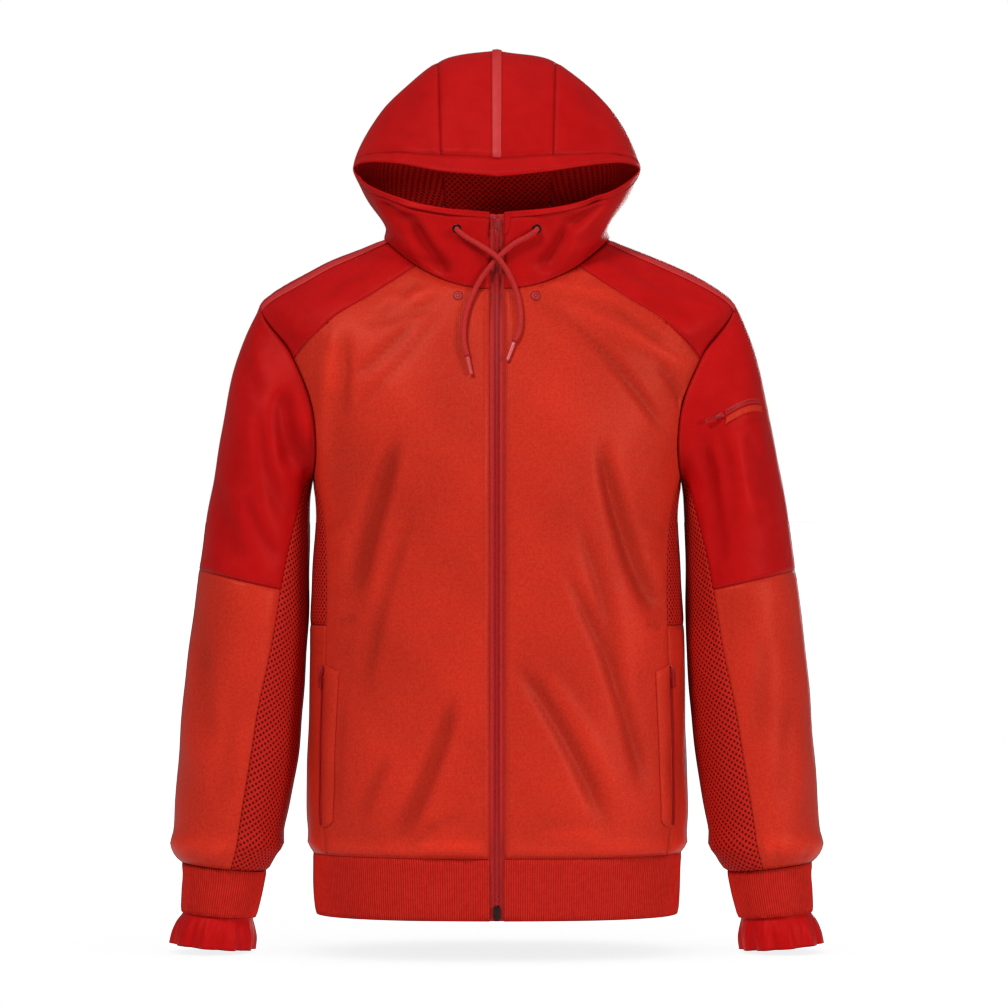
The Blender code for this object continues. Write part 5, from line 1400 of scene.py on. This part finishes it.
for side, hand in HANDS:
    welt = refine_grid(side_strip(POCKET_LOW, POCKET_HIGH, 0.055, 0.003, 1), WELT_COLUMNS, WELT_ROWS)
    up, over = np.linspace(0, 1, WELT_ROWS), np.linspace(-1, 1, WELT_COLUMNS)[:, None]
    foot = np.sqrt(1 - 0.88 * (1 - np.clip(up / 0.055, 0, 1)) ** 2) * (1 - 0.2 * (1 - up))
    welt[..., 0] = welt[-1:, :, 0] + (welt[..., 0] - welt[-1:, :, 0]) * foot
    welt[..., 1] -= 7.0 * np.clip((up - 0.8) / 0.2, 0, 1) * np.clip(0.5 - over / 2, 0, 1)
    rounded = 0.1 + 2.1 * (1 - over**2) * np.clip(np.minimum(up, 1 - up) / 0.04, 0.2, 1)
    overlay(f"pocket_welt_{hand}", torso, welt, KNIT, side, lift=rounded, slot="knit")
    slit = refine_grid(side_strip(POCKET_LOW + 2, POCKET_HIGH - 12, -0.003, -0.012, 1), 6, 60)
    overlay(f"pocket_zip_{hand}", torso, slit, ZIP_TAPE, side, thickness=SLIT_WALL, slot="zip_cloth")
    small_coil(f"pocket_teeth_{hand}", torso, slit[2:4].mean(axis=0), side)
    place = side_run(POCKET_HIGH - 6, POCKET_HIGH, 1, 1)[0] + np.array([0.0085, 0])
    slider(f"pocket_slider_{hand}", box_frame(*on(torso, place), UP), *SMALL_SLIDER, side)
    refined(f"pocket_pull_{hand}", f"{hand}_pocket_pull")


# %% Sleeve pocket
def sleeve_strip(corners, columns):
    low, high = (np.linspace(sleeve_place(*corners[k]), sleeve_place(*corners[k + 1]), columns) for k in (0, 2))
    return np.stack([low, high], axis=1)


arm_slit = refine_grid(sleeve_strip(((237, -180.5), (274, -168), (236, -175), (273, -162.5)), 7), 40, 6)
arm_welt = refine_grid(sleeve_strip(((236, -190), (275, -176.5), (237.5, -182), (275, -170)), 7), 40, 8)
overlay("sleeve_zip", sleeve, arm_slit, ZIP_TAPE, thickness=SLIT_WALL, slot="zip_cloth", creases=SLEEVE_CREASES)
overlay("sleeve_welt", sleeve, arm_welt, KNIT, slot="knit", creases=SLEEVE_CREASES)
small_coil("sleeve_teeth", sleeve, arm_slit[:, 2:4].mean(axis=1))
arm_place = sleeve_place(230, -181)
ahead = sleeve(*sleeve_place(274, -165)) - sleeve(*arm_place)
slider("sleeve_slider", box_frame(*on(sleeve, arm_place), ahead), *SMALL_SLIDER)
refined("sleeve_pull", "arm_pull")


# %% [markdown]
# ## Drawstrings, eyelets and snaps
# Each cord leaves its eyelet, crosses the other over the zip and hangs down the chest, to a moulded tip. The free
# ends are as long as the photograph shows.


# %% Round tubes
TUBE_SIDES = 16


def tube_grid(route, radii):
    """Rings of points round a route, kept from twisting, as a grid [around, along]."""
    route, radii = np.asarray(route, float), np.asarray(radii, float)
    tangents = np.gradient(route, axis=0)
    tangents /= np.linalg.norm(tangents, axis=1, keepdims=True)
    side_way = np.cross(tangents[0], [0, -1, 0.2])
    rings = []
    for place, tangent, radius in zip(route, tangents, radii):
        side_way = side_way - np.dot(side_way, tangent) * tangent
        side_way /= np.linalg.norm(side_way)
        other = np.cross(tangent, side_way)
        angles = np.linspace(0, 2 * np.pi, TUBE_SIDES + 1)[:, None]
        way = np.cos(angles) * side_way + np.sin(angles) * other
        way[-1] = way[0]
        rings.append(place + way * radius)
    return np.array(rings).swapaxes(0, 1)


def tube(name, route, radii, look, replaced):
    """A closed round tube along a route."""
    points = tube_grid(route, radii)
    flat = flat_cut(points)
    flat[..., 0] = np.linspace(0, 1, points.shape[0])[:, None] * 2 * np.pi * np.max(radii)
    mesh = grid_mesh(name, points, flat, closed=True)
    bm = bmesh_of(mesh)
    bmesh.ops.holes_fill(bm, edges=[edge for edge in bm.edges if edge.is_boundary])
    bmesh.ops.recalc_face_normals(bm, faces=bm.faces)
    bm.to_mesh(mesh)
    bm.free()
    mesh.shade_smooth()
    made = piece(name, mesh, look, replaced)
    return made


CORD_RADIUS = 2.7
# x, z, height over the cloth
CORD_RIGHT = (
    (-41, 11.5, 1.4), (-40.8, 11.3, 4.0), (-38.6, 9.5, 6.6), (-33, 5, 6.8), (-18, -4, 6.8), (0, -18, 9.8),
    (8.5, -29, 8.5), (20, -55, 5.0), (24, -76, 4.2), (22.5, -97, 3.8), (18, -106, 3.6),
)
TIP_RIGHT = ((17.3, -107.5, 3.4), (10.5, -126, 3.0))
CORD_LEFT = (
    (41, 11.5, 1.4), (40.8, 11.3, 4.0), (38.6, 9.5, 6.4), (33, 5.5, 6.0), (19, -2, 4.8), (0, -18, 3.8),
    (-15.5, -39, 3.6), (-27.5, -64, 3.8), (-33.5, -88, 3.6), (-33.5, -108, 3.4), (-30.5, -121, 3.4),
)
TIP_LEFT = ((-30, -122.5, 3.2), (-26, -140, 3.0))
for hand, table, tip in (("right", CORD_RIGHT, TIP_RIGHT), ("left", CORD_LEFT, TIP_LEFT)):
    points = np.array([over_cloth(*row) for row in table])
    length = arcs(points, 0)
    route = through(np.column_stack([length, points]), np.linspace(0, length[-1], 110))
    ends = np.array([over_cloth(*row) for row in tip])
    tip_start = route[-1] + (ends[0] - route[-1]) * 0.3
    tip_route, tip_length = even_steps(np.array([tip_start, *ends]), 0.6)
    share = np.linspace(0, 1, len(tip_route))
    tip_radii = CORD_RADIUS * (0.86 - 0.16 * share) * np.clip(np.minimum(share, 1 - share) * 14 + 0.25, 0, 1) ** 0.5
    tip_piece = tube(f"drawstring_end_{hand}", tip_route, tip_radii, TIP, (f"drawstring_tip_{hand}",))
    cord_piece = tube(f"drawstring_cord_{hand}", route, np.full(len(route), CORD_RADIUS), CORD, (f"drawstring_{hand}",))


# %% Eyelets and snaps
def add_ring(bm, spot, radius, wire, rise, side):
    """Adds a round wire ring that lies flat in a frame, spun from a small circle."""
    start = len(bm.verts)
    stands = Matrix.Translation((radius, 0, rise)) @ Matrix.Rotation(math.radians(90), 4, "X")
    circle = bmesh.ops.create_circle(bm, segments=10, radius=wire, matrix=stands)
    turn = dict(cent=(0, 0, rise), axis=UP, angle=2 * math.pi, steps=36, use_merge=True)
    bmesh.ops.spin(bm, geom=circle["verts"] + edges_of(circle), **turn)
    bm.verts.ensure_lookup_table()
    bmesh.ops.transform(bm, matrix=frame_matrix(spot, side), verts=bm.verts[start:])


def add_cap(bm, spot, radius, height, rise, side):
    """Adds a low dome, such as a covered snap."""
    dome = frame_matrix(spot, side) @ Matrix.Translation((0, 0, rise)) @ Matrix.Diagonal((radius, radius, height, 1))
    bmesh.ops.create_uvsphere(bm, u_segments=24, v_segments=12, radius=1, matrix=dome)


EYELET_X, EYELET_Z, SNAP_X, SNAP_Z = 41.0, 11.5, 40.0, -57.0
SNAP_RADIUS, SNAP_HEIGHT = 4.7, 0.8
# radius, wire, rise
EYELET_RINGS = ((4.0, 1.0, 0.5), (3.1, 0.7, 0.3))
SNAP_RINGS = ((SNAP_RADIUS, 0.42, 0.35), (2.0, 0.36, 0.75))


def rings_piece(name, spot, rings, look, side, replaced=()):
    """A piece made of wire rings in one frame."""
    bm = bmesh.new()
    for radius, wire, rise in rings:
        add_ring(bm, spot, radius, wire, rise, side)
    finish_mesh(name, bm, look, replaced)


for side, hand in HANDS:
    spot = box_frame(*on(hood, collar_place(EYELET_X, EYELET_Z)), UP)
    rings_piece(f"trim_eyelet_{hand}", spot, EYELET_RINGS, DARK_METAL, side, (f"eyelet_{hand}",))
    spot = box_frame(*on(torso, torso_place(SNAP_X, SNAP_Z)), UP)
    bm = bmesh.new()
    add_cap(bm, spot, SNAP_RADIUS, SNAP_HEIGHT, 0.0, side)
    finish_mesh(f"trim_snap_{hand}", bm, SNAP_RED, (f"snap_{hand}",))
    rings_piece(f"snap_rims_{hand}", spot, SNAP_RINGS, SNAP_RIM, side)

# %% All the stitches as one piece
grain = bmesh.new()
bmesh.ops.create_icosphere(grain, subdivisions=1, radius=1)
repeated("stitches", grain, stitches, THREAD)
print("stitches:", len(stitches))

# %% [markdown]
# ## The scene brought up to date

# %% The scene brought up to date
bpy.context.view_layer.update()
